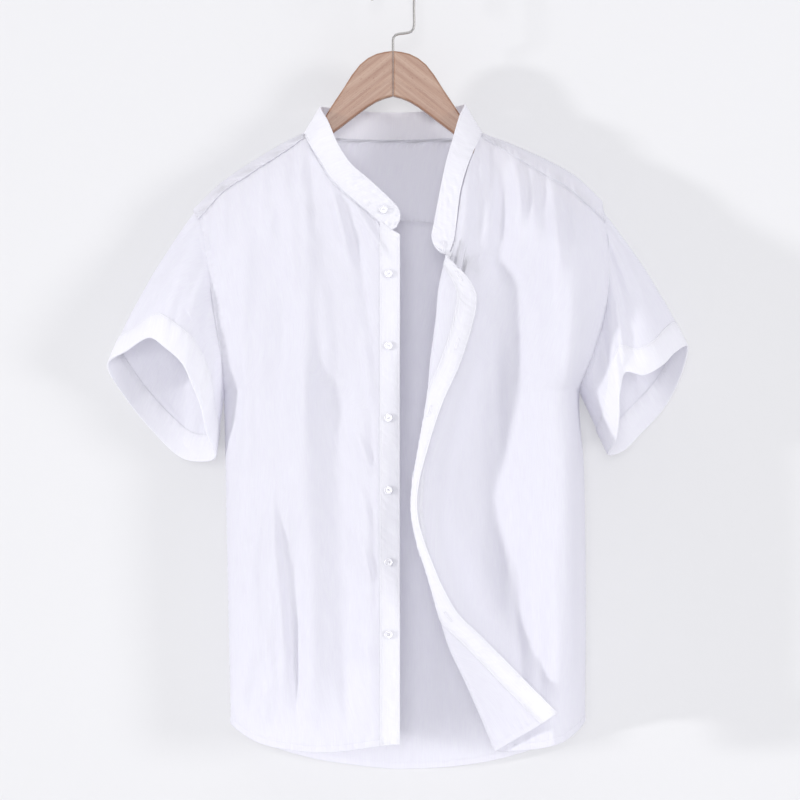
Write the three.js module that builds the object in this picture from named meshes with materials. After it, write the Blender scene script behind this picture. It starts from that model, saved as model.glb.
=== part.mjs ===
// A short-sleeved mandarin collar shirt hanging open on a wooden hanger with a steel wire hook.
// Millimetres, +Z up, the shirt's front faces -Y and +X is to the right of someone looking at it.
// The origin is the point inside the top of the hook's arc, where the hook bears on its rail.
// Left and right in the names of pieces are those of the person who would wear the shirt.
import * as THREE from "three";

// ---------- driving dimensions ----------

const CLOTH = 1.6; // wall of one layer
const DOUBLE_CLOTH = 2.2; // wall of the folded bands: plackets, collar and cuffs
const SEAM = 0.35; // half the gap between two pieces at a seam
const PLACKET_WIDTH = 23;
const PLACKET_SEAM_X = -15; // seam of the button placket
const PLACKET_LIFT = (DOUBLE_CLOTH - CLOTH) / 2; // brings its underside level with the panel's
const CUFF_WIDTH = 32;
const FRONT_DEPTH = 50; // how far the chest stands in front of the hanger
const OPEN_SIDE_DEPTH = 44; // the same at the middle of the turned-back front
// Across the opening, where the shape of one front gives way to that of the other
const OPENING = { right: 10, middle: 15, left: 110 };
const BACK_DEPTH = 54;
const SHOULDER_DROP = 120; // distance below the shoulder at which the full depth is reached
const SLEEVE_TOP_Z = -274;
const UNDERARM_Z = -480;
const ARMHOLE_FULLNESS = 34; // how far the sleeve rounds the body's outline between shoulder and underarm
const SIDE_ROUNDNESS = 6; // exponent of the body's level section
const ROLL_RADIUS = 4.5; // of the turned-back edge
const FLAP_LIFT = 0.2; // slope at which the turned-back part rises off the front

const BUTTON_DIAMETER = 10;
const BUTTON_THICKNESS = 2.4;
const BUTTON_X = -5;
const BUTTON_TOP_Z = -348;
const BUTTON_SPACING = 81.6;
const BUTTON_COUNT = 6;
const COLLAR_BUTTON_ALONG = 0.125; // its place along the collar band, from the wearer's right end

const HANGER_THICKNESS = 12;
const HANGER_EDGE_ROUND = 2;
const WIRE_DIAMETER = 3.2;
const HOOK_RADIUS = 24;

// ---------- tables: a row for each section ----------

function table(names, rows) {
  const columns = names.split(" ");
  return rows.map((row) => Object.fromEntries(columns.map((name, i) => [name, row[i]])));
}

// The line along the top of the shoulders, carried on over the open neck
const SHOULDER = table("x z", [
  [-233, -276], [-193, -239], [-127, -197], [-101, -184], [-72, -164], [-40, -140], [0, -126],
  [40, -140], [72, -164], [101, -184], [132, -196], [177, -216], [210, -235], [240, -263],
]);

// Outline seen from the front: armhole seam down to the underarm, then the side seam
const SIDES = table("z left right", [
  [-266, -233, 240], [-282, -223, 242], [-305, -217, 245], [-340, -211, 246], [-388, -203, 243],
  [-430, -197, 231], [-480, -194, 214], [-573, -192, 219], [-720, -189, 221], [-860, -186, 220],
]);

// Seam of the front with the yoke, and the neck edges that the collar is sewn to
const YOKE_FRONT = table("x z", [
  [-223, -283], [-193, -251], [-127, -209], [-99, -189], [99, -189], [132, -208], [175, -234],
  [198, -246], [229, -273], [242, -285],
]);
const NECK_RIGHT = table("x z", [
  [-99, -189], [-95, -199], [-85, -217], [-70, -241], [-47, -262], [-19, -286], [-3, -299], [9, -306],
]);
const NECK_LEFT = table("x z", [
  [60, -329], [65.5, -324], [70, -310], [72, -296], [77.5, -256], [85.5, -227], [92.5, -209], [99, -189],
]);

// Lower edges of the fronts and of the longer back
const FRONT_HEM = table("x z", [
  [-186, -862], [-152, -880], [-102, -889], [-60, -889], [-10, -882], [9, -881],
  [115, -887], [146, -885], [187, -876], [210, -865], [220, -858],
]);
const BACK_HEM = table("x z", [
  [-186, -862], [-150, -891], [-100, -909], [-40, -919], [8, -923], [80, -919], [140, -907],
  [190, -886], [220, -859],
]);

// The turned-back front: where it folds at each height, how far the fold stands forward of the
// front, and where the free edge then lies
const TURNED_EDGE = table("z x stand edgeX edgeZ", [
  [-329, 60, 16, 66, -335], [-348, 55, 20, 85, -355], [-369, 51, 23, 94, -375],
  [-402, 48, 25, 89, -407], [-447, 42, 27, 75, -451], [-492, 38, 28, 56, -494],
  [-539, 30, 25, 41, -540], [-588, 22, 21, 29, -588], [-617, 21, 23, 28, -617],
  [-646, 26, 28, 34, -644], [-681, 37, 32, 46, -676], [-705, 44, 31, 56, -699],
  [-737, 53, 27, 73, -729], [-771, 64, 23, 101, -757], [-805, 80, 20, 127, -783],
  [-839, 95, 17, 150, -806], [-887, 115, 14, 184, -839],
]);
const STAND_WIDTH = 30; // how far the ridge under the turned-back part reaches past that part

// The collar band: its seam, the height and the inward lean of its upper edge
const COLLAR = table("x z topX topZ lean", [
  [-3, -300, 4, -295, 0], [-7, -296.5, 8.3, -284, 0], [-12, -292.5, 6, -274, 0],
  [-19, -286, -2, -265, -1], [-47, -262, -28.5, -240, 0], [-69, -241, -46, -225, 1],
  [-84, -217, -61, -203, 1], [-96, -198, -74, -173, 0], [-101, -184, -83, -155, -1],
  [-94, -184, -79, -153, -3], [-72, -186, -62, -154, -4], [-38, -187, -34, -155, -4],
  [0, -187.5, 0, -155.5, -4],
  [38, -187, 34, -155, -4], [72, -186, 62, -153, -4], [94, -184, 79, -151, -3],
  [101, -184, 82, -152, -1], [97, -196, 75.5, -168, -1], [91, -209, 68.5, -192, -1],
  [84, -227, 60.5, -219.5, -2], [76, -256, 52.5, -257.5, -2], [71, -296, 45.5, -294.5, -2],
  [69, -309, 43.5, -306, -2], [65, -321, 47, -318, -2], [62, -327, 55, -325.5, -1],
]);
const COLLAR_FRONT_ROWS = 8; // rows of the table on each front, before the band reaches the shoulder

// Openings of the turned-up cuffs, round from the outer end by the front to the underarm and back
const RIGHT_CUFF_RIM = table("x y z", [
  [-327, -8, -451], [-303, -38, -436], [-273, -52, -421], [-255, -56, -433], [-238, -57, -450],
  [-228, -56, -471], [-218, -48, -498], [-212, -34, -529], [-204, -10, -557], [-226, 14, -562],
  [-248, 30, -557], [-276, 37, -532], [-311, 27, -488],
]);
const LEFT_CUFF_RIM = table("x y z", [
  [337, -10, -430], [319, -38, -438], [304, -54, -452], [283, -60, -463], [262, -60, -460],
  [256, -59, -479], [256, -54, -508], [254, -38, -535], [247, -12, -553], [268, 20, -549],
  [289, 38, -530], [316, 46, -501], [332, 30, -468],
]);

// Large soft folds of the body: a line from one end to the other, its half-width, and how far it
// stands out, negative for a trough
const RIGHT_FRONT_FOLDS = table("x0 z0 x1 z1 width height", [
  [-166, -245, -182, -850, 12, 5], [-139, -205, -140, -330, 10, 5], [-118, -200, -112, -420, 9, 5],
  [-96, -205, -100, -560, 13, 6], [-66, -240, -46, -330, 9, 4], [-66, -430, -46, -860, 19, -9],
  [-128, -560, -150, -880, 16, 7], [-106, -400, -92, -880, 15, 6],
  [-105, -600, -112, -885, 10, -5], [-28, -540, -26, -880, 12, 4],
]);
const LEFT_FRONT_FOLDS = table("x0 z0 x1 z1 width height", [
  [147, -215, 140, -320, 11, 6], [186, -232, 178, -420, 12, 6], [112, -220, 108, -330, 9, 5],
  [205, -300, 196, -850, 12, 7], [194, -250, 194, -960, 42, 40], [103, -310, 100, -760, 24, -10],
]);
const BACK_FOLDS = table("x0 z0 x1 z1 width height", [
  [-150, -330, -165, -860, 16, 7], [-100, -330, -92, -900, 14, -6], [-45, -350, -58, -910, 18, 7],
  [10, -330, 4, -915, 15, -5], [62, -340, 70, -910, 19, 7], [118, -330, 130, -900, 15, -6],
  [170, -330, 182, -870, 16, 6],
]);

// ---------- curves and small sums ----------

const lerp = THREE.MathUtils.lerp;
const clamp = THREE.MathUtils.clamp;

// A smooth curve through one column of a table as a function of another, level beyond its ends
function curveThrough(rows, key, value) {
  const sorted = [...rows].sort((a, b) => a[key] - b[key]);
  const last = sorted.length - 1;
  const slopes = sorted.map((row, i) => {
    const before = sorted[Math.max(i - 1, 0)];
    const after = sorted[Math.min(i + 1, last)];
    return (after[value] - before[value]) / (after[key] - before[key]);
  });
  return (at) => {
    const place = clamp(at, sorted[0][key], sorted[last][key]);
    const found = sorted.findIndex((row) => row[key] >= place);
    const k = clamp(found - 1, 0, last - 1);
    const span = sorted[k + 1][key] - sorted[k][key];
    const t = (place - sorted[k][key]) / span;
    const rise = sorted[k + 1][value] - sorted[k][value];
    const bend = (1 - t) * (slopes[k] * span - rise) - t * (slopes[k + 1] * span - rise);
    return sorted[k][value] + t * rise + t * (1 - t) * bend;
  };
}

// A straight-line reading of a table, for outlines with corners
function lineThrough(rows, key, value) {
  return (at) => {
    const last = rows.length - 1;
    const place = clamp(at, rows[0][key], rows[last][key]);
    const found = rows.findIndex((row) => row[key] >= place);
    const k = clamp(found - 1, 0, last - 1);
    const t = (place - rows[k][key]) / (rows[k + 1][key] - rows[k][key]);
    return lerp(rows[k][value], rows[k + 1][value], t);
  };
}

const shoulderZ = curveThrough(SHOULDER, "x", "z");
const leftX = curveThrough(SIDES, "z", "left");
const rightX = curveThrough(SIDES, "z", "right");
const yokeFrontZ = lineThrough(YOKE_FRONT, "x", "z");
const neckRightZ = curveThrough(NECK_RIGHT, "x", "z");
const neckLeftZ = lineThrough(NECK_LEFT, "x", "z");
const frontHemZ = curveThrough(FRONT_HEM, "x", "z");
const backHemZ = curveThrough(BACK_HEM, "x", "z");
const turnX = curveThrough(TURNED_EDGE, "z", "x");
const turnStand = curveThrough(TURNED_EDGE, "z", "stand");
const turnEdgeX = curveThrough(TURNED_EDGE, "z", "edgeX");
const turnEdgeZ = curveThrough(TURNED_EDGE, "z", "edgeZ");

const YOKE_BACK_MIDDLE_Z = -285;
const YOKE_BACK_DROP = 50; // how much lower the yoke's back seam is at the armholes
const YOKE_HALF_WIDTH = 215;
const yokeBackZ = (x) => YOKE_BACK_MIDDLE_Z - YOKE_BACK_DROP * (x / YOKE_HALF_WIDTH) ** 2;

// ---------- the body's surface ----------

const FOLD_FADE = 80; // length over which a fold rises from nothing at either end, at most
const FOLD_FADE_SHARE = 0.35; // the same as a share of the fold's length, at most

// Height of the folds at a place: each is a soft ridge across its line, faded at both ends
function foldHeight(folds, x, z) {
  return folds.reduce((sum, fold) => {
    const length = fold.z0 - fold.z1;
    const fade = Math.min(FOLD_FADE, length * FOLD_FADE_SHARE);
    const fromEnd = Math.min(fold.z0 - z, z - fold.z1);
    if (fromEnd <= 0) return sum;
    const across = (x - lerp(fold.x0, fold.x1, (fold.z0 - z) / length)) / fold.width;
    return sum + fold.height * Math.exp(-across * across) * THREE.MathUtils.smoothstep(fromEnd, 0, fade);
  }, 0);
}

// Fullness from 0 at the shoulder line, the sides and the underarm to 1 in the middle
function fullness(x, z) {
  const drop = clamp((shoulderZ(x) - z) / SHOULDER_DROP, 0, 1);
  const shoulderToUnderarm = clamp((z - SLEEVE_TOP_Z) / (UNDERARM_Z - SLEEVE_TOP_Z), 0, 1);
  const extra = ARMHOLE_FULLNESS * Math.sin(Math.PI * shoulderToUnderarm);
  const left = leftX(z) - extra;
  const right = rightX(z) + extra;
  const across = clamp((2 * x - left - right) / (right - left), -1, 1);
  const fromShoulder = Math.sqrt(drop * (2 - drop));
  return fromShoulder * Math.sqrt(1 - Math.abs(across) ** SIDE_ROUNDNESS);
}

// The standing ridge that carries the turned-back part, nearly level under it and steep beside it
function turnRidge(x, z) {
  const halfFlap = (turnEdgeX(z) - turnX(z)) / 2;
  const across = Math.abs(x - turnX(z) - halfFlap) / (STAND_WIDTH + halfFlap);
  return turnStand(z) * Math.exp(-(across ** 3));
}

function frontY(x, z) {
  const open = THREE.MathUtils.smoothstep(x, OPENING.right, OPENING.left);
  const depth = lerp(FRONT_DEPTH, OPEN_SIDE_DEPTH, open);
  const onOpenSide = x > OPENING.middle;
  const folds = foldHeight(onOpenSide ? LEFT_FRONT_FOLDS : RIGHT_FRONT_FOLDS, x, z);
  const ridge = onOpenSide ? turnRidge(x, z) : 0;
  return -(SEAM + fullness(x, z) * (depth + folds + ridge));
}

function backY(x, z) {
  return SEAM + fullness(x, z) * (BACK_DEPTH + foldHeight(BACK_FOLDS, x, z));
}

// ---------- walls ----------

// A closed wall of even thickness on the surface place(u, v), u and v from 0 to 1 in the given steps.
// With ring set, u runs all the way round and the wall is a sleeve with two open ends.
function wall(place, across, along, thickness, ring = false) {
  const tiny = 1e-3;
  const columns = ring ? across.length - 1 : across.length;
  const inside = (t) => clamp(t, 0, 1);
  const around = ring ? (t) => t - Math.floor(t) : inside;
  const skins = [[], []];
  for (const v of along) {
    for (const u of across.slice(0, columns)) {
      const middle = place(u, v);
      const eastward = place(around(u + tiny), v).sub(place(around(u - tiny), v));
      const southward = place(u, inside(v + tiny)).sub(place(u, inside(v - tiny)));
      const out = eastward.cross(southward).normalize().multiplyScalar(thickness / 2);
      skins[0].push(middle.clone().add(out));
      skins[1].push(middle.clone().sub(out));
    }
  }
  const points = [...skins[0], ...skins[1]];
  const half = skins[0].length;
  const rows = along.length;
  const at = (i, j, skin) => skin * half + j * columns + (i % columns);
  const faces = [];
  const quad = (a, b, c, d) => faces.push(a, b, c, a, c, d);
  const cells = across.length - 1;
  for (let j = 0; j < rows - 1; j += 1) {
    for (let i = 0; i < cells; i += 1) {
      quad(at(i, j, 0), at(i + 1, j, 0), at(i + 1, j + 1, 0), at(i, j + 1, 0));
      quad(at(i, j, 1), at(i, j + 1, 1), at(i + 1, j + 1, 1), at(i + 1, j, 1));
    }
    if (!ring) {
      quad(at(0, j, 0), at(0, j + 1, 0), at(0, j + 1, 1), at(0, j, 1));
      quad(at(cells, j, 0), at(cells, j, 1), at(cells, j + 1, 1), at(cells, j + 1, 0));
    }
  }
  for (let i = 0; i < cells; i += 1) {
    quad(at(i, 0, 0), at(i, 0, 1), at(i + 1, 0, 1), at(i + 1, 0, 0));
    quad(at(i, rows - 1, 0), at(i + 1, rows - 1, 0), at(i + 1, rows - 1, 1), at(i, rows - 1, 1));
  }
  const geometry = new THREE.BufferGeometry();
  const coordinates = points.flatMap((point) => point.toArray());
  geometry.setAttribute("position", new THREE.Float32BufferAttribute(coordinates, 3));
  geometry.setIndex(faces);
  geometry.computeVertexNormals();
  return geometry;
}

// Even steps from 0 to 1
function steps(count) {
  return Array.from({ length: count + 1 }, (unused, i) => i / count);
}

// Joins runs of steps: each row of runs is [end, count]
function runs(list) {
  const result = [0];
  for (const [end, count] of list) {
    const start = result[result.length - 1];
    for (let i = 1; i <= count; i += 1) result.push(lerp(start, end, i / count));
  }
  return result;
}

// Finds the height z between top(x) and hem(x) at the fraction v, where x itself depends on z
function settle(v, xAt, top, hem) {
  let z = lerp(-300, -880, v);
  for (let turn = 0; turn < 12; turn += 1) {
    const x = xAt(z);
    z = lerp(top(x), hem(x), v);
  }
  return z;
}

// ---------- the body's pieces ----------

const SIDE_SHARE = 0.3; // part of a panel's columns that rounds its side edge
const sideEase = (u) => (u < SIDE_SHARE ? (u * u) / SIDE_SHARE : u);

// Wearer's right front: from its side edge to the placket's seam
const NECK_CORNER_X = 99;
const rightFrontTop = (x) => (x < -NECK_CORNER_X ? yokeFrontZ(x) : neckRightZ(x)) - SEAM;

function rightFrontPlace(u, v) {
  const share = sideEase(u);
  const xAt = (z) => lerp(leftX(z), PLACKET_SEAM_X - SEAM, share);
  const z = settle(v, xAt, rightFrontTop, frontHemZ);
  const x = xAt(z);
  return new THREE.Vector3(x, frontY(x, z), z);
}

function buttonPlacketPlace(u, v) {
  const x = lerp(PLACKET_SEAM_X + SEAM, PLACKET_SEAM_X + PLACKET_WIDTH, u);
  const z = lerp(neckRightZ(x) - SEAM, frontHemZ(x), v);
  return new THREE.Vector3(x, frontY(x, z) - PLACKET_LIFT, z);
}

// Wearer's left front. Its rows run from the side to the fold, round the roll and out over the
// front to the free edge. reach is the distance from the fold along the cloth, negative before it.
const leftFrontTop = (x) => (x > NECK_CORNER_X ? yokeFrontZ(x) : neckLeftZ(x)) - SEAM;
const foldZ = (v) => settle(v, turnX, leftFrontTop, frontHemZ);
const QUARTER_TURN = Math.PI / 2;

function turnedRow(v) {
  const z = foldZ(v);
  const fold = new THREE.Vector2(turnX(z), z);
  const out = new THREE.Vector2(turnEdgeX(z), turnEdgeZ(z)).sub(fold);
  const width = out.length();
  const radius = Math.min(ROLL_RADIUS, width / 2.2);
  return { fold, direction: out.normalize(), radius, free: width - radius + radius * QUARTER_TURN };
}

function mainPlace(distance, v) {
  const xAt = (z) => turnX(z) + distance(z);
  const z = settle(v, xAt, leftFrontTop, frontHemZ);
  const x = xAt(z);
  return new THREE.Vector3(x, frontY(x, z), z);
}

function turnedPlace(reach, v) {
  const row = turnedRow(v);
  const quarter = row.radius * QUARTER_TURN;
  if (reach < -quarter) return mainPlace(() => row.radius - quarter - reach, v);
  if (reach <= 0) {
    const angle = reach / row.radius;
    const place = mainPlace(() => row.radius * (1 - Math.cos(angle)), v);
    place.y -= row.radius * (1 + Math.sin(angle));
    return place;
  }
  const angle = Math.min(reach / row.radius, QUARTER_TURN);
  const straight = Math.max(reach - quarter, 0);
  const distance = row.radius * (1 - Math.cos(angle)) + straight;
  const x = row.fold.x + row.direction.x * distance;
  const z = row.fold.y + row.direction.y * distance;
  const y = frontY(x, z) - row.radius * (1 + Math.sin(angle)) - FLAP_LIFT * straight;
  return new THREE.Vector3(x, y, z);
}

const NEAR_FOLD = 22; // the stretch before the fold that keeps its distance from it
const LEFT_FRONT_COLUMNS = { side: 0.5, roll: 0.82 }; // ends of the three runs of columns
const ROLL_RUN = 9;

function leftFrontPlace(u, v) {
  const row = turnedRow(v);
  const end = row.free - PLACKET_WIDTH - SEAM;
  const rollEnd = Math.min(end - 1.5, ROLL_RUN);
  if (u <= LEFT_FRONT_COLUMNS.side) {
    const share = sideEase(u / LEFT_FRONT_COLUMNS.side);
    const nearest = row.radius - row.radius * QUARTER_TURN + NEAR_FOLD;
    return mainPlace((z) => lerp(rightX(z) - turnX(z), nearest, share), v);
  }
  if (u <= LEFT_FRONT_COLUMNS.roll) {
    const share = (u - LEFT_FRONT_COLUMNS.side) / (LEFT_FRONT_COLUMNS.roll - LEFT_FRONT_COLUMNS.side);
    return turnedPlace(lerp(-NEAR_FOLD, rollEnd, share), v);
  }
  const share = (u - LEFT_FRONT_COLUMNS.roll) / (1 - LEFT_FRONT_COLUMNS.roll);
  return turnedPlace(lerp(rollEnd, end, share), v);
}

function buttonholePlacketPlace(u, v) {
  const row = turnedRow(v);
  return turnedPlace(lerp(row.free - PLACKET_WIDTH, row.free, u), v);
}

// Both side edges of the back are rounded, so its steps are close there
const backEase = (u) => (1 - Math.cos(Math.PI * u)) / 2;

function backPlace(u, v) {
  const share = lerp(backEase(u), u, 0.35 * Math.sin(Math.PI * u));
  const xAt = (z) => lerp(rightX(z), leftX(z), share);
  const z = settle(v, xAt, (x) => yokeBackZ(x) - SEAM, backHemZ);
  const x = xAt(z);
  return new THREE.Vector3(x, backY(x, z), z);
}

// ---------- the yoke: over each shoulder, and down the back from the collar ----------

const NECK_POINT_X = 102;
const YOKE_OUTER_SHARE = 0.27; // part of the columns on each shoulder
const YOKE_RIDGE_SHARE = 0.4; // part of a column before the shoulder line, on the shoulders
const NECK_SEAM_Z = -187; // of the yoke's neck edge behind the neck
const NECK_EDGE_DROP = 3; // the rows that go over the shoulders pass this strip behind the neck

function shoulderColumn(x, v) {
  const top = shoulderZ(x);
  if (v < YOKE_RIDGE_SHARE) {
    const rise = Math.sin(QUARTER_TURN * (v / YOKE_RIDGE_SHARE));
    const z = lerp(yokeFrontZ(x) + 2 * SEAM, top, rise);
    return new THREE.Vector3(x, frontY(x, z) + SEAM, z);
  }
  const fall = 1 - Math.cos(QUARTER_TURN * ((v - YOKE_RIDGE_SHARE) / (1 - YOKE_RIDGE_SHARE)));
  const z = lerp(top, yokeBackZ(x) + SEAM, fall);
  return new THREE.Vector3(x, backY(x, z) - SEAM, z);
}

// The yoke's end at the armhole, at the fraction v of the way from its front seam to its back one
function yokeEndX(edgeX, side, v) {
  let x = edgeX(-290);
  for (let turn = 0; turn < 8; turn += 1) x = edgeX(shoulderColumn(x, v).z) - side * SEAM;
  return x;
}

function yokePlace(u, v) {
  if (u <= YOKE_OUTER_SHARE) {
    return shoulderColumn(lerp(yokeEndX(rightX, 1, v), NECK_POINT_X, u / YOKE_OUTER_SHARE), v);
  }
  if (u >= 1 - YOKE_OUTER_SHARE) {
    return shoulderColumn(lerp(yokeEndX(leftX, -1, v), -NECK_POINT_X, (1 - u) / YOKE_OUTER_SHARE), v);
  }
  const x = lerp(NECK_POINT_X, -NECK_POINT_X, (u - YOKE_OUTER_SHARE) / (1 - 2 * YOKE_OUTER_SHARE));
  const strip = Math.min(v / YOKE_RIDGE_SHARE, 1);
  const fall = 1 - Math.cos(QUARTER_TURN * Math.max((v - YOKE_RIDGE_SHARE) / (1 - YOKE_RIDGE_SHARE), 0));
  const z = lerp(NECK_SEAM_Z - NECK_EDGE_DROP * strip, yokeBackZ(x) + SEAM, fall);
  return new THREE.Vector3(x, backY(x, z) - SEAM, z);
}

// ---------- the collar band ----------

const COLLAR_LIFT = 2.4; // its lower edge stands this far inside the neck seam
const collarRows = COLLAR.map((row, i) => {
  const onBack = i >= COLLAR_FRONT_ROWS && i < COLLAR.length - COLLAR_FRONT_ROWS;
  const y = (onBack ? backY : frontY)(row.x, row.z);
  const seam = new THREE.Vector3(row.x, y, row.z);
  const top = new THREE.Vector3(row.topX, y + row.lean, row.topZ);
  seam.lerp(top, COLLAR_LIFT / seam.distanceTo(top));
  return { seam, top };
});
const collarSeam = new THREE.CatmullRomCurve3(collarRows.map((row) => row.seam), false, "centripetal");
const collarTop = new THREE.CatmullRomCurve3(collarRows.map((row) => row.top), false, "centripetal");
const collarPlace = (u, v) => collarTop.getPoint(u).lerp(collarSeam.getPoint(u), v);

// ---------- sleeves and cuffs ----------

const SLEEVE_GAP = { shoulder: 1.8, underarm: 3 }; // from the armhole's edge to the middle of the sleeve's wall
const SLEEVE_BULGE = 7;
const CUFF_SEAM_SHARE = 0.006; // half the gap at the cuff's seam, as a share of the sleeve's length
const RIM_UNDERARM_ROW = 8; // row of the rim tables that lies below the underarm

// side is -1 for the sleeve at -X and 1 for the one at +X
function sleeve(rimRows, side, edgeX) {
  const rim = new THREE.CatmullRomCurve3(rimRows.map((row) => new THREE.Vector3(row.x, row.y, row.z)), true);
  const underarm = RIM_UNDERARM_ROW / rimRows.length;
  const armhole = (u) => {
    const z = lerp(SLEEVE_TOP_Z, UNDERARM_Z, (1 - Math.cos(2 * Math.PI * u)) / 2);
    const x = edgeX(z);
    const y = u < 0.5 ? frontY(x, z) : backY(x, z);
    const gap = lerp(SLEEVE_GAP.shoulder, SLEEVE_GAP.underarm, (1 - Math.cos(2 * Math.PI * u)) / 2);
    return new THREE.Vector3(x + side * gap, y, z);
  };
  const rimPoint = (u) => rim.getPoint(u < 0.5 ? 2 * u * underarm : lerp(underarm, 1, 2 * u - 1) % 1);
  const place = (u, s) => {
    const start = armhole(u);
    const end = rimPoint(u);
    const point = start.lerp(end, s);
    const swell = SLEEVE_BULGE * 4 * s * (1 - s);
    point.x += side * swell * Math.max(Math.cos(2 * Math.PI * u), 0);
    point.y -= swell * Math.sin(2 * Math.PI * u);
    return point;
  };
  const seamShare = (u) => 1 - CUFF_WIDTH / armhole(u).distanceTo(rimPoint(u));
  const flip = (u) => (side < 0 ? 1 - u : u) % 1;
  return {
    body: (u, v) => place(flip(u), (seamShare(flip(u)) - CUFF_SEAM_SHARE) * v),
    cuff: (u, v) => place(flip(u), lerp(seamShare(flip(u)) + CUFF_SEAM_SHARE, 1, v)),
  };
}

const rightSleeve = sleeve(RIGHT_CUFF_RIM, -1, leftX);
const leftSleeve = sleeve(LEFT_CUFF_RIM, 1, rightX);

// ---------- buttons ----------

// A flat underside, a rounded rim and a shallow dish
function buttonGeometry() {
  const edge = BUTTON_DIAMETER / 2;
  const top = BUTTON_THICKNESS;
  const profile = [
    [0, 0], [edge - 0.8, 0], [edge, 0.9], [edge - 0.3, top - 0.3], [edge - 1.1, top],
    [edge - 1.9, top - 0.7], [0, top - 0.7],
  ];
  return new THREE.LatheGeometry(profile.map(([r, h]) => new THREE.Vector2(r, h)), 16);
}

function placeButton(mesh, middle, east, up, clearance) {
  const out = up.clone().cross(east).normalize();
  if (out.y > 0) out.negate();
  mesh.quaternion.setFromUnitVectors(new THREE.Vector3(0, 1, 0), out);
  mesh.position.copy(middle).addScaledVector(out, clearance);
}

// ---------- hanger and hook ----------

const HANGER_EDGES = table("x top bottom", [
  [0.2, -90, -142], [14, -92, -146], [27, -97, -153], [42, -110, -164], [55, -130, -174],
  [73, -157, -188], [90, -184, -206], [101, -196, -215], [112, -203, -223], [160, -231, -252],
  [209, -262, -282],
]);
const hangerTop = curveThrough(HANGER_EDGES, "x", "top");
const hangerBottom = curveThrough(HANGER_EDGES, "x", "bottom");
const HANGER_TIP = { x: 221, z: -276 };
const HANGER_STATIONS = 22;

function hangerArm(side) {
  const first = HANGER_EDGES[0].x;
  const last = HANGER_EDGES[HANGER_EDGES.length - 1].x;
  const stations = steps(HANGER_STATIONS).map((t) => lerp(first, last, t));
  const upper = stations.map((x) => new THREE.Vector2(side * x, hangerTop(x)));
  const lower = stations.map((x) => new THREE.Vector2(side * x, hangerBottom(x))).reverse();
  const pulled = new THREE.Vector2(side * HANGER_TIP.x, HANGER_TIP.z);
  const tip = new THREE.QuadraticBezierCurve(upper[upper.length - 1], pulled, lower[0]);
  const outline = new THREE.Shape([...upper, ...tip.getPoints(5).slice(1, -1), ...lower]);
  const geometry = new THREE.ExtrudeGeometry(outline, {
    depth: HANGER_THICKNESS - 2 * HANGER_EDGE_ROUND,
    bevelThickness: HANGER_EDGE_ROUND,
    bevelSize: HANGER_EDGE_ROUND,
    bevelOffset: -HANGER_EDGE_ROUND,
    bevelSegments: 2,
    steps: 1,
  });
  geometry.translate(0, 0, HANGER_EDGE_ROUND - HANGER_THICKNESS / 2);
  geometry.rotateX(Math.PI / 2);
  return geometry;
}

// The wire's middle line below the arc: up out of the wood, then a jog to one side
const WIRE_RISE = table("x z", [
  [0, -89.4], [0, -84], [0, -77], [1.4, -72.5], [5, -70.4], [18, -68.4], [22.4, -66], [24, -61], [24, -42],
]);
const WIRE_TAIL = 9; // how far the wire runs on below the arc at its free end

function hookGeometry() {
  const arcZ = WIRE_DIAMETER / 2 - HOOK_RADIUS;
  const arc = steps(10).map((t) => new THREE.Vector3(
    HOOK_RADIUS * Math.cos(Math.PI * t), 0, arcZ + HOOK_RADIUS * Math.sin(Math.PI * t)));
  const rise = WIRE_RISE.map((row) => new THREE.Vector3(row.x, 0, row.z));
  const tail = new THREE.Vector3(-HOOK_RADIUS, 0, arcZ - WIRE_TAIL);
  const line = new THREE.CatmullRomCurve3([...rise, ...arc, tail], false, "centripetal");
  const section = new THREE.Shape();
  section.absarc(0, 0, WIRE_DIAMETER / 2, 0, 2 * Math.PI);
  return new THREE.ExtrudeGeometry(section, { steps: 44, curveSegments: 5, extrudePath: line });
}

// ---------- build ----------

const shirt = new THREE.Group();

function add(name, geometry, look) {
  const mesh = new THREE.Mesh(geometry, new THREE.MeshStandardMaterial(look));
  mesh.name = name;
  shirt.add(mesh);
  return mesh;
}

const WHITE_CLOTH = { color: 0xf4f3f8, roughness: 0.88, metalness: 0 };
const WHITE_BUTTON = { color: 0xf1f1f4, roughness: 0.3, metalness: 0 };
const PALE_BEECH = { color: 0xc9a78f, roughness: 0.5, metalness: 0 };
const BRIGHT_STEEL = { color: 0xc9c9cc, roughness: 0.25, metalness: 1 };

add("front_right_panel", wall(rightFrontPlace, steps(18), steps(18), CLOTH), WHITE_CLOTH);
add("button_placket", wall(buttonPlacketPlace, steps(3), steps(20), DOUBLE_CLOTH), WHITE_CLOTH);
const leftFrontColumns = runs([[LEFT_FRONT_COLUMNS.side, 9], [LEFT_FRONT_COLUMNS.roll, 6], [1, 3]]);
const turnedRows = runs([[0.07, 5], [0.22, 4], [0.3, 4], [0.68, 8], [0.8, 5], [1, 4]]);
add("front_left_panel", wall(leftFrontPlace, leftFrontColumns, turnedRows, CLOTH), WHITE_CLOTH);
add("buttonhole_placket", wall(buttonholePlacketPlace, steps(5), turnedRows, DOUBLE_CLOTH), WHITE_CLOTH);
add("back_panel", wall(backPlace, steps(26), steps(14), CLOTH), WHITE_CLOTH);
const yokeColumns = runs([
  [YOKE_OUTER_SHARE, 6], [YOKE_OUTER_SHARE + 0.01, 1], [0.99 - YOKE_OUTER_SHARE, 10],
  [1 - YOKE_OUTER_SHARE, 1], [1, 6],
]);
const yokeRows = runs([[YOKE_RIDGE_SHARE, 3], [1, 5]]);
add("yoke", wall(yokePlace, yokeColumns, yokeRows, CLOTH), WHITE_CLOTH);
add("collar_band", wall(collarPlace, steps(40), steps(3), DOUBLE_CLOTH), WHITE_CLOTH);
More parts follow.
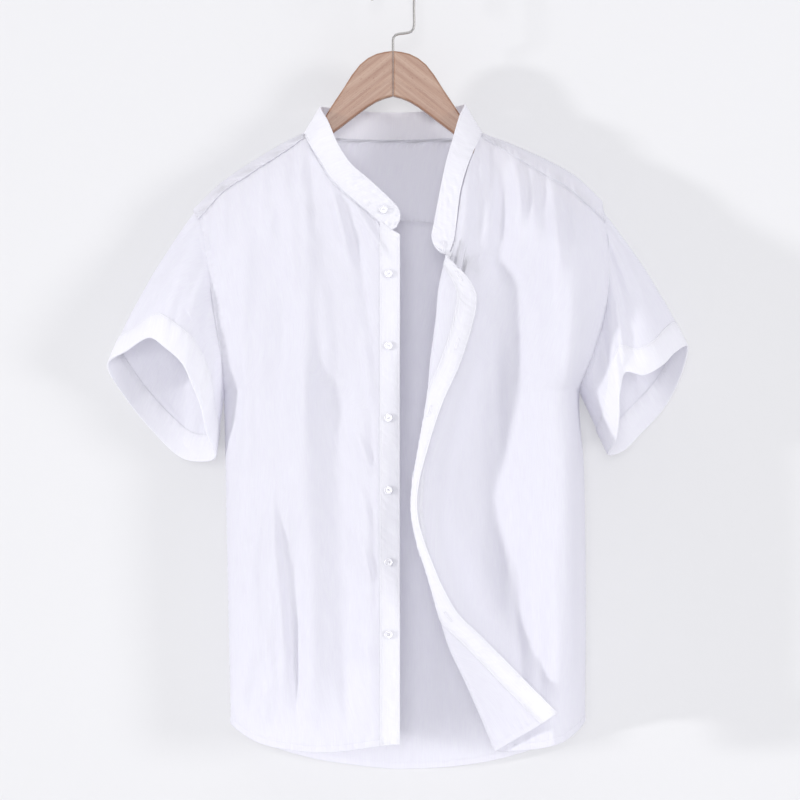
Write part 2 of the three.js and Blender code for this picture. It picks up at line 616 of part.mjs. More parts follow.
for (const [name, tube] of [["right", rightSleeve], ["left", leftSleeve]]) {
  add(`sleeve_${name}`, wall(tube.body, steps(24), steps(8), CLOTH, true), WHITE_CLOTH);
  add(`cuff_${name}`, wall(tube.cuff, steps(24), steps(2), DOUBLE_CLOTH, true), WHITE_CLOTH);
}

const BUTTON_CLEARANCE = DOUBLE_CLOTH / 2 + 0.45;
const BUTTON_REACH = 4; // half the stretch of cloth that each button lies flat on

for (let i = 0; i < BUTTON_COUNT; i += 1) {
  const at = (dx, dz) => {
    const x = BUTTON_X + dx;
    const z = BUTTON_TOP_Z - i * BUTTON_SPACING + dz;
    return new THREE.Vector3(x, frontY(x, z) - PLACKET_LIFT, z);
  };
  const button = add(`button_${i + 1}`, buttonGeometry(), WHITE_BUTTON);
  const east = at(BUTTON_REACH, 0).sub(at(-BUTTON_REACH, 0));
  const up = at(0, BUTTON_REACH).sub(at(0, -BUTTON_REACH));
  placeButton(button, at(0, 0), east, up, BUTTON_CLEARANCE);
}

const onCollar = (du, dv) => collarPlace(COLLAR_BUTTON_ALONG + du, 0.5 + dv);
const collarEast = onCollar(0.01, 0).sub(onCollar(-0.01, 0));
const collarUp = onCollar(0, -0.1).sub(onCollar(0, 0.1));
const collarButton = add("collar_button", buttonGeometry(), WHITE_BUTTON);
placeButton(collarButton, onCollar(0, 0), collarEast, collarUp, BUTTON_CLEARANCE);

add("hanger_arm_right", hangerArm(-1), PALE_BEECH);
add("hanger_arm_left", hangerArm(1), PALE_BEECH);
add("hook_wire", hookGeometry(), BRIGHT_STEEL);

export default shirt;
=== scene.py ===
"""A white mandarin collar shirt hanging open on a beech hanger with a steel wire hook.

Laid out as a Blender add-on and run as a script. Metres, +Z up, the shirt's front faces -Y, and the
origin is where the hook bears on its rail. Left and right are those of the shirt's wearer.
"""

import math

import bpy
import numpy as np
from bpy.props import FloatProperty, FloatVectorProperty, PointerProperty
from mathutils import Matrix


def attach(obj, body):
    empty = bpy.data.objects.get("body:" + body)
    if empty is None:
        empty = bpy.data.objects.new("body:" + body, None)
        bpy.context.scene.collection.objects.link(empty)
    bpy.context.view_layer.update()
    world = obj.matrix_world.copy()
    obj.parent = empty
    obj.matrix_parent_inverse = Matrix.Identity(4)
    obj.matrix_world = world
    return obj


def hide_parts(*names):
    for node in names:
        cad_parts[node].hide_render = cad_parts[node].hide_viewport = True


bl_info = {
    "name": "Mandarin Collar Shirt",
    "version": (1, 0, 0),
    "blender": (4, 5, 0),
    "location": "View3D > Sidebar > Shirt",
    "description": "Builds a mandarin collar shirt on a wooden hanger, piece by piece",
    "category": "Object",
}

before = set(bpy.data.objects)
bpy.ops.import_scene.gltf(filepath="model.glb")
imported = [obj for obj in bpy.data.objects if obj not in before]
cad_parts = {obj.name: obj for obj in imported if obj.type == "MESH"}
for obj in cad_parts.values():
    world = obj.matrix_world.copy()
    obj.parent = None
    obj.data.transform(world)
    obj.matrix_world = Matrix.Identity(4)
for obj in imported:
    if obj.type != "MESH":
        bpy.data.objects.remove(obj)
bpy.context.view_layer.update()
MM = 0.001

# ---------- sizes of the cut, in metres ----------

SEAM_LAP = 4 * MM  # how far one piece runs under the next at a seam
PROUD = 0.7 * MM  # how far a lapped or doubled piece stands off the piece under it
PLACKET_WIDTH = 23 * MM
PLACKET_SEAM_X = -15 * MM
CUFF_WIDTH = 32 * MM
HEM_WIDTH = 9 * MM
STITCH_LENGTH = 2.6 * MM
EDGE_STITCH = 2.2 * MM  # distance of an edge stitch from its edge
FRONT_DEPTH = 50 * MM
OPEN_SIDE_DEPTH = 44 * MM
BACK_DEPTH = 54 * MM
SHOULDER_DROP = 120 * MM
UNDERARM_Z = -480 * MM
SLEEVE_TOP_Z = -274 * MM
ARMHOLE_FULLNESS = 34 * MM
SIDE_ROUNDNESS = 6
ROLL_RADIUS = 4.5 * MM
FLAP_LIFT = 0.2
STAND_WIDTH = 30 * MM
NECK_CORNER_X = 99 * MM
YOKE_BACK_MIDDLE_Z = -285 * MM
YOKE_BACK_DROP = 50 * MM
YOKE_HALF_WIDTH = 215 * MM
BUTTON_X = -5 * MM
BUTTON_TOP_Z = -348 * MM
BUTTON_SPACING = 81.6 * MM
BUTTON_COUNT = 6


def table(names, rows):
    """Named columns of a table written in millimetres, as arrays in metres."""
    columns = np.array(rows, float).T * MM
    return dict(zip(names.split(), columns))


# The line along the shoulders, carried on over the open neck
SHOULDER = table("x z", [
    (-233, -276), (-193, -239), (-127, -197), (-101, -184), (-72, -164), (-40, -140), (0, -126),
    (40, -140), (72, -164), (101, -184), (132, -196), (177, -216), (210, -235), (240, -263)])

# Outline seen from the front: armhole seams down to the underarms, then the side seams
SIDES = table("z left right", [
    (-266, -233, 240), (-282, -223, 242), (-305, -217, 245), (-340, -211, 246), (-388, -203, 243),
    (-430, -197, 231), (-480, -194, 214), (-573, -192, 219), (-720, -189, 221), (-860, -186, 220)])

YOKE_FRONT = table("x z", [
    (-223, -283), (-193, -251), (-127, -209), (-99, -189), (99, -189), (132, -208), (175, -234),
    (198, -246), (229, -273), (242, -285)])
NECK_RIGHT = table("x z", [
    (-99, -189), (-95, -199), (-85, -217), (-70, -241), (-47, -262), (-19, -286), (-3, -299), (9, -306)])
NECK_LEFT = table("x z", [
    (60, -329), (65.5, -324), (70, -310), (72, -296), (77.5, -256), (85.5, -227), (92.5, -209), (99, -189)])
FRONT_HEM = table("x z", [
    (-186, -862), (-152, -880), (-102, -889), (-60, -889), (-10, -882), (9, -881),
    (115, -887), (146, -885), (187, -876), (210, -865), (220, -858)])
BACK_HEM = table("x z", [
    (-186, -862), (-150, -891), (-100, -909), (-40, -919), (8, -923), (80, -919), (140, -907),
    (190, -886), (220, -859)])

# The turned-back edge: where it folds, how far the fold stands forward, where its free edge lies
TURNED_EDGE = table("z x stand edgeX edgeZ", [
    (-329, 60, 16, 66, -335), (-348, 55, 20, 85, -355), (-369, 51, 23, 94, -375),
    (-402, 48, 25, 89, -407), (-447, 42, 27, 75, -451), (-492, 38, 28, 56, -494),
    (-539, 30, 25, 41, -540), (-588, 22, 21, 29, -588), (-617, 21, 23, 28, -617),
    (-646, 26, 28, 34, -644), (-681, 37, 32, 46, -676), (-705, 44, 31, 56, -699),
    (-737, 53, 27, 73, -729), (-771, 64, 23, 101, -757), (-805, 80, 20, 127, -783),
    (-839, 95, 17, 150, -806), (-887, 115, 14, 184, -839)])

COLLAR = table("x z topX topZ lean", [
    (-3, -300, 4, -295, 0), (-7, -296.5, 8.3, -284, 0), (-12, -292.5, 6, -274, 0),
    (-19, -286, -2, -265, -1), (-47, -262, -28.5, -240, 0), (-69, -241, -46, -225, 1),
    (-84, -217, -61, -203, 1), (-96, -198, -74, -173, 0), (-101, -184, -83, -155, -1),
    (-94, -184, -79, -153, -3), (-72, -186, -62, -154, -4), (-38, -187, -34, -155, -4),
    (0, -187.5, 0, -155.5, -4),
    (38, -187, 34, -155, -4), (72, -186, 62, -153, -4), (94, -184, 79, -151, -3),
    (101, -184, 82, -152, -1), (97, -196, 75.5, -168, -1), (91, -209, 68.5, -192, -1),
    (84, -227, 60.5, -219.5, -2), (76, -256, 52.5, -257.5, -2), (71, -296, 45.5, -294.5, -2),
    (69, -309, 43.5, -306, -2), (65, -321, 47, -318, -2), (62, -327, 55, -325.5, -1)])
COLLAR_FRONT_ROWS = 8

RIGHT_CUFF_RIM = table("x y z", [
    (-327, -8, -451), (-303, -38, -436), (-273, -52, -421), (-255, -56, -433), (-238, -57, -450),
    (-228, -56, -471), (-218, -48, -498), (-212, -34, -529), (-204, -10, -557), (-226, 14, -562),
    (-248, 30, -557), (-276, 37, -532), (-311, 27, -488)])
LEFT_CUFF_RIM = table("x y z", [
    (337, -10, -430), (319, -38, -438), (304, -54, -452), (283, -60, -463), (262, -60, -460),
    (256, -59, -479), (256, -54, -508), (254, -38, -535), (247, -12, -553), (268, 20, -549),
    (289, 38, -530), (316, 46, -501), (332, 30, -468)])
RIM_UNDERARM_ROW = 8

# Folds: a line from one end to the other, its half-width, and how far it stands out, negative
# for a trough
FOLD_COLUMNS = "x0 z0 x1 z1 width height"
RIGHT_FRONT_FOLDS = table(FOLD_COLUMNS, [
    (-166, -245, -182, -850, 12, 5), (-139, -205, -140, -330, 10, 5), (-118, -200, -112, -420, 9, 5),
    (-96, -205, -100, -560, 13, 6), (-66, -240, -46, -330, 9, 4), (-66, -430, -46, -860, 19, -9),
    (-128, -560, -150, -880, 16, 7), (-106, -400, -92, -880, 15, 6),
    (-105, -600, -112, -885, 10, -5), (-28, -540, -26, -880, 12, 4)])
LEFT_FRONT_FOLDS = table(FOLD_COLUMNS, [
    (147, -215, 140, -320, 11, 6), (186, -232, 178, -420, 12, 6), (112, -220, 108, -330, 9, 5),
    (205, -300, 196, -850, 12, 7), (194, -250, 194, -960, 42, 40), (103, -310, 100, -760, 24, -10)])
BACK_FOLDS = table(FOLD_COLUMNS, [
    (-150, -330, -165, -860, 16, 7), (-100, -330, -92, -900, 14, -6), (-45, -350, -58, -910, 18, 7),
    (10, -330, 4, -915, 15, -5), (62, -340, 70, -910, 19, 7), (118, -330, 130, -900, 15, -6),
    (170, -330, 182, -870, 16, 6)])

# Smaller creases, which only the cloth's own surface has
RIGHT_FRONT_CREASES = table(FOLD_COLUMNS, [
    # gathers below the yoke's seam
    (-209, -250, -206, -345, 5, -3), (-200, -235, -198, -360, 5, 3.6), (-189, -225, -187, -320, 5, -3.2),
    (-179, -215, -176, -330, 5, 3.4), (-166, -205, -163, -300, 5, -3), (-152, -195, -150, -310, 5, 3.2),
    (-139, -185, -138, -290, 4.5, -3), (-126, -180, -124, -300, 4.5, 3), (-115, -170, -112, -270, 4, -3),
    (-105, -165, -106, -275, 5, 4.2), (-94, -175, -88, -320, 5, -3.2),
    # streaks that run down from the neck towards the placket
    (-75, -232, -46, -345, 5, 4.2), (-62, -245, -34, -350, 5, -3), (-54, -252, 2, -345, 5, 4),
    (-44, -290, -22, -430, 6, -2.6), (-82, -330, -70, -480, 8, 2.4), (-34, -400, -22, -520, 5, 2),
    (-46, -515, -19, -585, 5, 3.2), (-50, -608, -20, -712, 5, 3.4), (-36, -560, -20, -640, 5, -2.6),
    (-26, -470, -20, -760, 4, -2.2), (-40, -740, -24, -800, 5, 2.4), (-58, -780, -50, -870, 6, -2.4),
    # the fan of creases above the hem
    (-143, -562, -174, -740, 5, 3.8), (-141, -566, -111, -876, 5, 4), (-133, -575, -103, -880, 6, -3.4),
    (-141, -600, -135, -860, 6, 3), (-152, -640, -149, -810, 5, -3.2), (-137, -728, -133, -806, 5, -4.4),
    (-128, -700, -123, -860, 5, 3), (-151, -768, -167, -856, 9, -7), (-149, -800, -143, -870, 5, 3.4),
    (-160, -820, -180, -850, 6, 2.6), (-176, -430, -178, -560, 6, -3), (-166, -420, -164, -600, 7, 2.6),
    (-120, -330, -130, -540, 8, -2.2), (-148, -360, -152, -520, 8, 2.4)])
LEFT_FRONT_CREASES = table(FOLD_COLUMNS, [
    # gathers below the yoke's seam
    (101, -170, 100, -262, 4, 3.4), (110, -180, 109, -280, 4, -3), (123, -190, 122, -380, 11, -7),
    (137, -190, 146, -295, 5.5, 4.6), (150, -205, 154, -300, 4.5, -3), (160, -208, 158, -330, 5, 3),
    (171, -215, 172, -320, 5.5, -4), (182, -218, 186, -352, 6, 5), (196, -225, 197, -330, 4.5, -2.8),
    (207, -235, 204, -340, 5, 3), (219, -245, 214, -330, 5, -3), (230, -255, 226, -330, 4.5, 2.6),
    # the ridge beside the collar
    (90, -212, 77, -330, 7, 4.2),
    # long soft folds
    (150, -330, 154, -520, 7, 2), (172, -420, 176, -700, 8, -2.6), (196, -380, 200, -800, 6, 3),
    (150, -560, 160, -800, 8, 2.4), (180, -600, 184, -850, 7, 2.6), (210, -600, 210, -840, 5, -2.6),
    (118, -400, 124, -600, 8, -2.4), (138, -700, 150, -870, 6, -2.4), (126, -560, 134, -760, 7, 2.2),
    (164, -690, 168, -860, 6, -2.2)])
BACK_CREASES = table(FOLD_COLUMNS, [
    (-185, -340, -186, -520, 7, 2.4), (-128, -350, -140, -560, 7, -2.4), (-76, -300, -70, -420, 6, 2.6),
    (-20, -300, -26, -430, 6, 2.4), (34, -300, 40, -440, 6, -2.4), (88, -305, 96, -520, 7, 2.6),
    (150, -320, 156, -500, 6, 2.4), (200, -350, 204, -560, 7, -2.4), (-170, -640, -150, -860, 8, -3),
    (-120, -700, -100, -880, 7, 2.6), (-30, -650, -40, -890, 8, -2.4), (36, -700, 24, -890, 7, 2.8),
    (100, -660, 110, -880, 8, -2.6), (150, -720, 168, -870, 7, 2.6)])


# ---------- curves ----------

def curve_through(rows, key, value):
    """A smooth curve through one column of a table as a function of another, level past its ends.
    Between two rows it is the cubic whose slope at each row is that of the chord of its neighbours."""
    order = np.argsort(rows[key])
    keys, values = rows[key][order], rows[value][order]
    last = len(keys) - 1
    index = np.arange(last + 1)
    before, after = np.maximum(index - 1, 0), np.minimum(index + 1, last)
    slopes = (values[after] - values[before]) / (keys[after] - keys[before])

    def read(at):
        place = np.clip(at, keys[0], keys[-1])
        k = np.clip(np.searchsorted(keys, place) - 1, 0, last - 1)
        span = keys[k + 1] - keys[k]
        t = (place - keys[k]) / span
        rise = values[k + 1] - values[k]
        bend = (1 - t) * (slopes[k] * span - rise) - t * (slopes[k + 1] * span - rise)
        return values[k] + t * rise + t * (1 - t) * bend

    return read


def line_through(rows, key, value):
    """A straight-line reading of a table, for outlines with corners."""
    return lambda at: np.interp(at, rows[key], rows[value])


def smooth_curve(points, closed=False):
    """A curve through rows of points, read at fractions of the way along: between two rows it is the
    cubic whose end slopes come from the rows beside them, spaced by the root of their distances."""
    if closed:
        padded = np.vstack([points[-1], points, points[0], points[1]])
    else:
        padded = np.vstack([2 * points[0] - points[1], points, 2 * points[-1] - points[-2]])
    cells = len(padded) - 3
    spacing = np.sqrt(np.linalg.norm(np.diff(padded, axis=0), axis=1))

    def read(t):
        place = (np.asarray(t, float) % 1.0 if closed else np.clip(t, 0, 1)) * cells
        k = np.clip(np.floor(place).astype(int), 0, cells - 1)
        s = (place - k)[..., None]
        p0, p1, p2, p3 = (padded[k + i] for i in range(4))
        d0, d1, d2 = (spacing[k + i][..., None] for i in range(3))
        start = ((p1 - p0) / d0 - (p2 - p0) / (d0 + d1) + (p2 - p1) / d1) * d1
        end = ((p2 - p1) / d1 - (p3 - p1) / (d1 + d2) + (p3 - p2) / d2) * d1
        return p1 + s * (start + s * (3 * (p2 - p1) - 2 * start - end + s * (2 * (p1 - p2) + start + end)))

    return read


def lerp(a, b, t):
    return a + (b - a) * t


def smoothstep(x, low, high):
    t = np.clip((x - low) / (high - low), 0, 1)
    return t * t * (3 - 2 * t)


def bell(x, width):
    """A soft ridge: 1 at x = 0, falling as the bell curve to nothing."""
    return np.exp(-np.square(x / width))


shoulder_z = curve_through(SHOULDER, "x", "z")
left_x = curve_through(SIDES, "z", "left")
right_x = curve_through(SIDES, "z", "right")
yoke_front_z = line_through(YOKE_FRONT, "x", "z")
neck_right_z = curve_through(NECK_RIGHT, "x", "z")
neck_left_z = line_through(NECK_LEFT, "x", "z")
front_hem_z = curve_through(FRONT_HEM, "x", "z")
back_hem_z = curve_through(BACK_HEM, "x", "z")
turn_x = curve_through(TURNED_EDGE, "z", "x")
turn_stand = curve_through(TURNED_EDGE, "z", "stand")
turn_edge_x = curve_through(TURNED_EDGE, "z", "edgeX")
turn_edge_z = curve_through(TURNED_EDGE, "z", "edgeZ")


def yoke_back_z(x):
    return YOKE_BACK_MIDDLE_Z - YOKE_BACK_DROP * (x / YOKE_HALF_WIDTH) ** 2


# ---------- the body's surface ----------

FOLD_FADE = 80 * MM
FOLD_FADE_SHARE = 0.35


def fold_height(folds, x, z):
    """Each fold is a bell-shaped ridge across its line, and rises smoothly from nothing at its ends."""
    total = np.zeros(np.broadcast(x, z).shape)
    for x0, z0, x1, z1, width, height in zip(*(folds[name] for name in FOLD_COLUMNS.split())):
        length = z0 - z1
        fade = smoothstep(np.minimum(z0 - z, z - z1), 0, min(FOLD_FADE, length * FOLD_FADE_SHARE))
        total += height * bell(x - lerp(x0, x1, (z0 - z) / length), width) * fade
    return total


def rumple(x, z, seed, wavelength, height):
    """Uneven soft wrinkles: waves in seeded directions, mostly across the cloth's length, each
    with a sharpened crest, on places shifted by slower waves."""
    rng = np.random.default_rng(seed)
    shift_x = x + wavelength * 0.5 * np.sin(z / wavelength * 0.9 + rng.uniform(0, 6.28))
    shift_z = z + wavelength * 0.5 * np.sin(x / wavelength * 0.8 + rng.uniform(0, 6.28))
    total = 0
    for _ in range(7):
        angle = rng.normal(0, 0.6)
        length = wavelength * rng.uniform(0.7, 1.6)
        turned = shift_x * math.cos(angle) + shift_z * math.sin(angle)
        wave = np.sin(6.28 * turned / length + rng.uniform(0, 6.28))
        total = total + (1 - 1.6 * np.abs(wave)) * rng.uniform(0.4, 1)
    return height * total / 4


def fullness(x, z):
    """From 0 at the shoulder line, the sides and the underarms to 1 in the middle: a quarter circle
    down from the shoulder times a rounded-square section from side to side."""
    drop = np.clip((shoulder_z(x) - z) / SHOULDER_DROP, 0, 1)
    level = np.clip((z - SLEEVE_TOP_Z) / (UNDERARM_Z - SLEEVE_TOP_Z), 0, 1)
    extra = ARMHOLE_FULLNESS * np.sin(np.pi * level)
    left, right = left_x(z) - extra, right_x(z) + extra
    across = np.clip((2 * x - left - right) / (right - left), -1, 1)
    return np.sqrt(drop * (2 - drop)) * np.sqrt(1 - np.abs(across) ** SIDE_ROUNDNESS)


# The crumpled place in the fan of creases above the right front's hem
FAN_X = -138 * MM
FAN_Z = -770 * MM
FAN_HALF_WIDTH = 22 * MM
FAN_HALF_HEIGHT = 90 * MM

# The ridge under the turned-back part is lower near the neck
RIDGE_TOP_Z = -295 * MM
RIDGE_FULL_Z = -365 * MM
RIDGE_TOP_SHARE = 0.6


def front_y(x, z):
    depth = lerp(FRONT_DEPTH, OPEN_SIDE_DEPTH, smoothstep(x, 10 * MM, 110 * MM))
    open_side = x > 15 * MM
    half_flap = (turn_edge_x(z) - turn_x(z)) / 2
    stand = turn_stand(z) * lerp(RIDGE_TOP_SHARE, 1, smoothstep(-z, -RIDGE_TOP_Z, -RIDGE_FULL_Z))
    ridge = stand * np.exp(-np.abs((x - turn_x(z) - half_flap) / (STAND_WIDTH + half_flap)) ** 3)
    right = fold_height(RIGHT_FRONT_FOLDS, x, z) + fold_height(RIGHT_FRONT_CREASES, x, z)
    right = right + rumple(x, z, 3, 42 * MM, 0.5 * MM)
    fan = bell(x - FAN_X, FAN_HALF_WIDTH) * bell(z - FAN_Z, FAN_HALF_HEIGHT)
    right = right + fan * rumple(x, z, 11, 15 * MM, 1.1 * MM)
    left = fold_height(LEFT_FRONT_FOLDS, x, z) + fold_height(LEFT_FRONT_CREASES, x, z) + ridge
    left = left + rumple(x, z, 8, 42 * MM, 0.5 * MM)
    return -fullness(x, z) * (depth + np.where(open_side, left, right))


def back_y(x, z):
    folds = fold_height(BACK_FOLDS, x, z) + fold_height(BACK_CREASES, x, z)
    return fullness(x, z) * (BACK_DEPTH + folds + rumple(x, z, 5, 42 * MM, 0.5 * MM))


SETTLE_ROUNDS = 14


def settle(v, x_at, top, hem):
    """The height between top(x) and hem(x) at the fraction v, where x itself depends on it."""
    z = lerp(-300 * MM, -880 * MM, v)
    for _ in range(SETTLE_ROUNDS):
        x = x_at(z)
        z = lerp(top(x), hem(x), v)
    return z


def side_ease(u):
    """Closer columns near a side edge: a parabola, then even steps."""
    share = 0.3
    return np.where(u < share, u * u / share, u)


# ---------- grids and meshes ----------

def spread(length, step, fine=1.1 * MM, zone=9 * MM, both=True):
    """Places from 0 to 1 along a length: fine steps in a zone at each end, wide ones between."""
    ends = np.arange(0, zone, fine)
    middle = np.linspace(zone, length - (zone if both else 0), max(int(length / step), 2))
    parts = [ends, middle] + ([length - ends[::-1]] if both else [])
    return np.unique(np.concatenate(parts)) / length


def normals_of(points, ring=False):
    """Unit normals of a grid of points, from the cross product of its two directions."""
    if ring:
        across = np.roll(points, -1, 1) - np.roll(points, 1, 1)
    else:
        across = np.gradient(points, axis=1)
    normal = np.cross(np.gradient(points, axis=0), across)
    return normal / np.maximum(np.linalg.norm(normal, axis=2, keepdims=True), 1e-12)


def grid_faces(rows, columns, ring=False, closed=False):
    """The quads of a grid; ring joins its last column to its first, closed its last row too."""
    i, j = np.meshgrid(np.arange(columns if ring else columns - 1), np.arange(rows if closed else rows - 1))
    right, below = (i + 1) % columns, (j + 1) % rows
    corners = [j * columns + i, j * columns + right, below * columns + right, below * columns + i]
    return np.stack(corners, -1).reshape(-1, 4)


def mesh_object(name, points, faces, uv=None, smooth=True):
    """A mesh of quads from arrays; uv holds a pair for each point, in metres on the cloth."""
    mesh = bpy.data.meshes.new(name)
    mesh.vertices.add(len(points))
    mesh.vertices.foreach_set("co", np.ascontiguousarray(points, np.float32).ravel())
    mesh.loops.add(faces.size)
    mesh.loops.foreach_set("vertex_index", faces.ravel().astype(np.int32))
    mesh.polygons.add(len(faces))
    mesh.polygons.foreach_set("loop_start", np.arange(0, faces.size, faces.shape[1], dtype=np.int32))
    mesh.update(calc_edges=True)
    mesh.validate()
    if uv is not None:
        layer = mesh.uv_layers.new(name="cut")
        layer.data.foreach_set("uv", np.ascontiguousarray(uv[faces.ravel()], np.float32).ravel())
    mesh.polygons.foreach_set("use_smooth", np.full(len(mesh.polygons), smooth))
    obj = bpy.data.objects.new(name, mesh)
    bpy.context.scene.collection.objects.link(obj)
    return obj


def lengths_along(points, axis):
    """Distance along a grid's lines from their first point, averaged over the grid."""
    step = np.linalg.norm(np.diff(points, axis=axis), axis=2)
    total = np.cumsum(step, axis=axis)
    pad = [(0, 0), (0, 0)]
    pad[axis] = (1, 0)
    return np.pad(total, pad)


SURFACES = {}  # for each sewn piece: its right side's points and normals, and the distances on it


def cloth_piece(name, points, thickness, replaces, ring=False, relief=None, proud=0.0,
                face=1):
    """A shell of even thickness on a grid of points. relief moves the points out along their
    normals, given the distances across and along the cloth; Solidify then gives the thickness.
    face is 1 where down times across points out of the cloth's right side, and otherwise -1."""
    normal = face * normals_of(points, ring)
    across, along = lengths_along(points, 1), lengths_along(points, 0)
    height = proud + (relief(across, along) if relief else 0.0)
    points = points + normal * (height[..., None] if np.ndim(height) else height)
    SURFACES[name] = (points + normal * thickness / 2, normal, across, along)
    rows, columns = points.shape[:2]
    uv = np.stack([across, along], -1).reshape(-1, 2)
    obj = mesh_object(name, points.reshape(-1, 3), grid_faces(rows, columns, ring), uv)
    shell = obj.modifiers.new("cloth thickness", "SOLIDIFY")
    shell.thickness = thickness
    shell.offset = 0
    shell.use_quality_normals = True
    obj.data.materials.append(look("band" if thickness > CLOTH_THICKNESS else "cloth"))
    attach(obj, "root")
    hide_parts(*replaces)
    return obj


def crumple(across, along, seed, wavelength, height, start, end):
    """Small uneven wrinkles between two distances along a band, measured by `across`."""
    middle, half = (start + end) / 2, (end - start) / 2
    return bell(across - middle, half) * rumple(across, along, seed, wavelength, height)


def seam_groove(along, distance, depth):
    """A narrow trough where a panel goes in under the next piece's edge."""
    return -depth * bell(along - distance, 1.3 * MM)


def edge_relief(across, along, hem=None, sides=(), depth=0.35 * MM, pucker=0.32 * MM):
    """A pressed stitch line: a narrow dip at EDGE_STITCH inside an edge, and the doubled cloth's
    swelling between them; a puckered ripple runs along the seam and dies away from it."""
    width, length = across.max(axis=1, keepdims=True), along.max(axis=0, keepdims=True)
    total = np.zeros(across.shape)
    for side in sides:
        if side in ("start", "end"):
            distance = across if side == "start" else width - across
            run = along
        else:
            distance = along if side == "top" else length - along
            run = across
        total -= depth * bell(distance - EDGE_STITCH, 0.9 * MM)
        ripple = np.sin(run * 6.28 / (8.3 * MM) + 1.7 * np.sin(run * 6.28 / (37 * MM)))
        total += pucker * ripple * bell(distance - 5 * MM, 6 * MM)
    if hem:
        distance = length - along
        total += 0.5 * MM * smoothstep(HEM_WIDTH - distance, 0, 0.8 * MM)
        total -= depth * bell(distance - HEM_WIDTH + 1.2 * MM, 0.8 * MM)
        ripple = np.sin(across * 6.28 / (11 * MM) + 2.1 * np.sin(across * 6.28 / (53 * MM)))
        total += 0.4 * MM * ripple * bell(distance - HEM_WIDTH, 9 * MM)
    return total


# ---------- materials ----------

def linear(hex_colour):
    """An sRGB hex colour as linear red, green, blue and alpha."""
    parts = [int(hex_colour[i:i + 2], 16) / 255 for i in (0, 2, 4)]
    return [c / 12.92 if c <= 0.04045 else ((c + 0.055) / 1.055) ** 2.4 for c in parts] + [1.0]


def node(tree, kind, links=None, **settings):
    """Adds a node; settings are its properties or, failing that, its inputs' values."""
    made = tree.nodes.new(kind)
    for name, value in settings.items():
        if hasattr(made, name):
            setattr(made, name, value)
        else:
            made.inputs[name.replace("_", " ")].default_value = value
    for name, socket in (links or {}).items():
        tree.links.new(socket, made.inputs[name])
    return made


def new_material(name):
    material = bpy.data.materials.new(name)
    material.use_nodes = True
    material.node_tree.nodes.clear()
    return material, material.node_tree


def noise(tree, vector, scale, detail, **settings):
    return node(tree, "ShaderNodeTexNoise", {"Vector": vector}, Scale=scale, Detail=detail, **settings)


def bands(tree, vector, direction, scale, distortion, detail):
    return node(tree, "ShaderNodeTexWave", {"Vector": vector}, wave_type="BANDS", bands_direction=direction,
                Scale=scale, Distortion=distortion, Detail=detail)


def bump(tree, height, strength, distance, under=None):
    links = {"Height": height}
    if under is not None:
        links["Normal"] = under.outputs[0]
    return node(tree, "ShaderNodeBump", links, Strength=strength, Distance=distance)


def ramp(tree, value, low, high, start=0.0, end=1.0):
    """A colour for each value, from low at start to high at end."""
    made = node(tree, "ShaderNodeValToRGB", {"Fac": value})
    for element, colour, place in zip(made.color_ramp.elements, (low, high), (start, end)):
        element.position = place
        element.color = colour
    return made


def darkened(tree, colour, mask, tint):
    """The colour multiplied by a tint where the mask is 1."""
    made = node(tree, "ShaderNodeMix", {"Factor": mask}, data_type="RGBA", blend_type="MULTIPLY")
    tree.links.new(colour, made.inputs[6])
    made.inputs[7].default_value = tint
    return made.outputs[2]


def coated(tree, links, weight, roughness, **settings):
    """A surface with a clear film over it."""
    made = node(tree, "ShaderNodeBsdfPrincipled", links, **settings)
    made.inputs["Coat Weight"].default_value = weight
    made.inputs["Coat Roughness"].default_value = roughness
    return made


def finished(material, tree, shader):
    node(tree, "ShaderNodeOutputMaterial", {"Surface": shader.outputs[0]})
    return material


LOOKS = {}


def look(name):
    if name not in LOOKS:
        LOOKS[name] = MATERIALS[name]()
    return LOOKS[name]


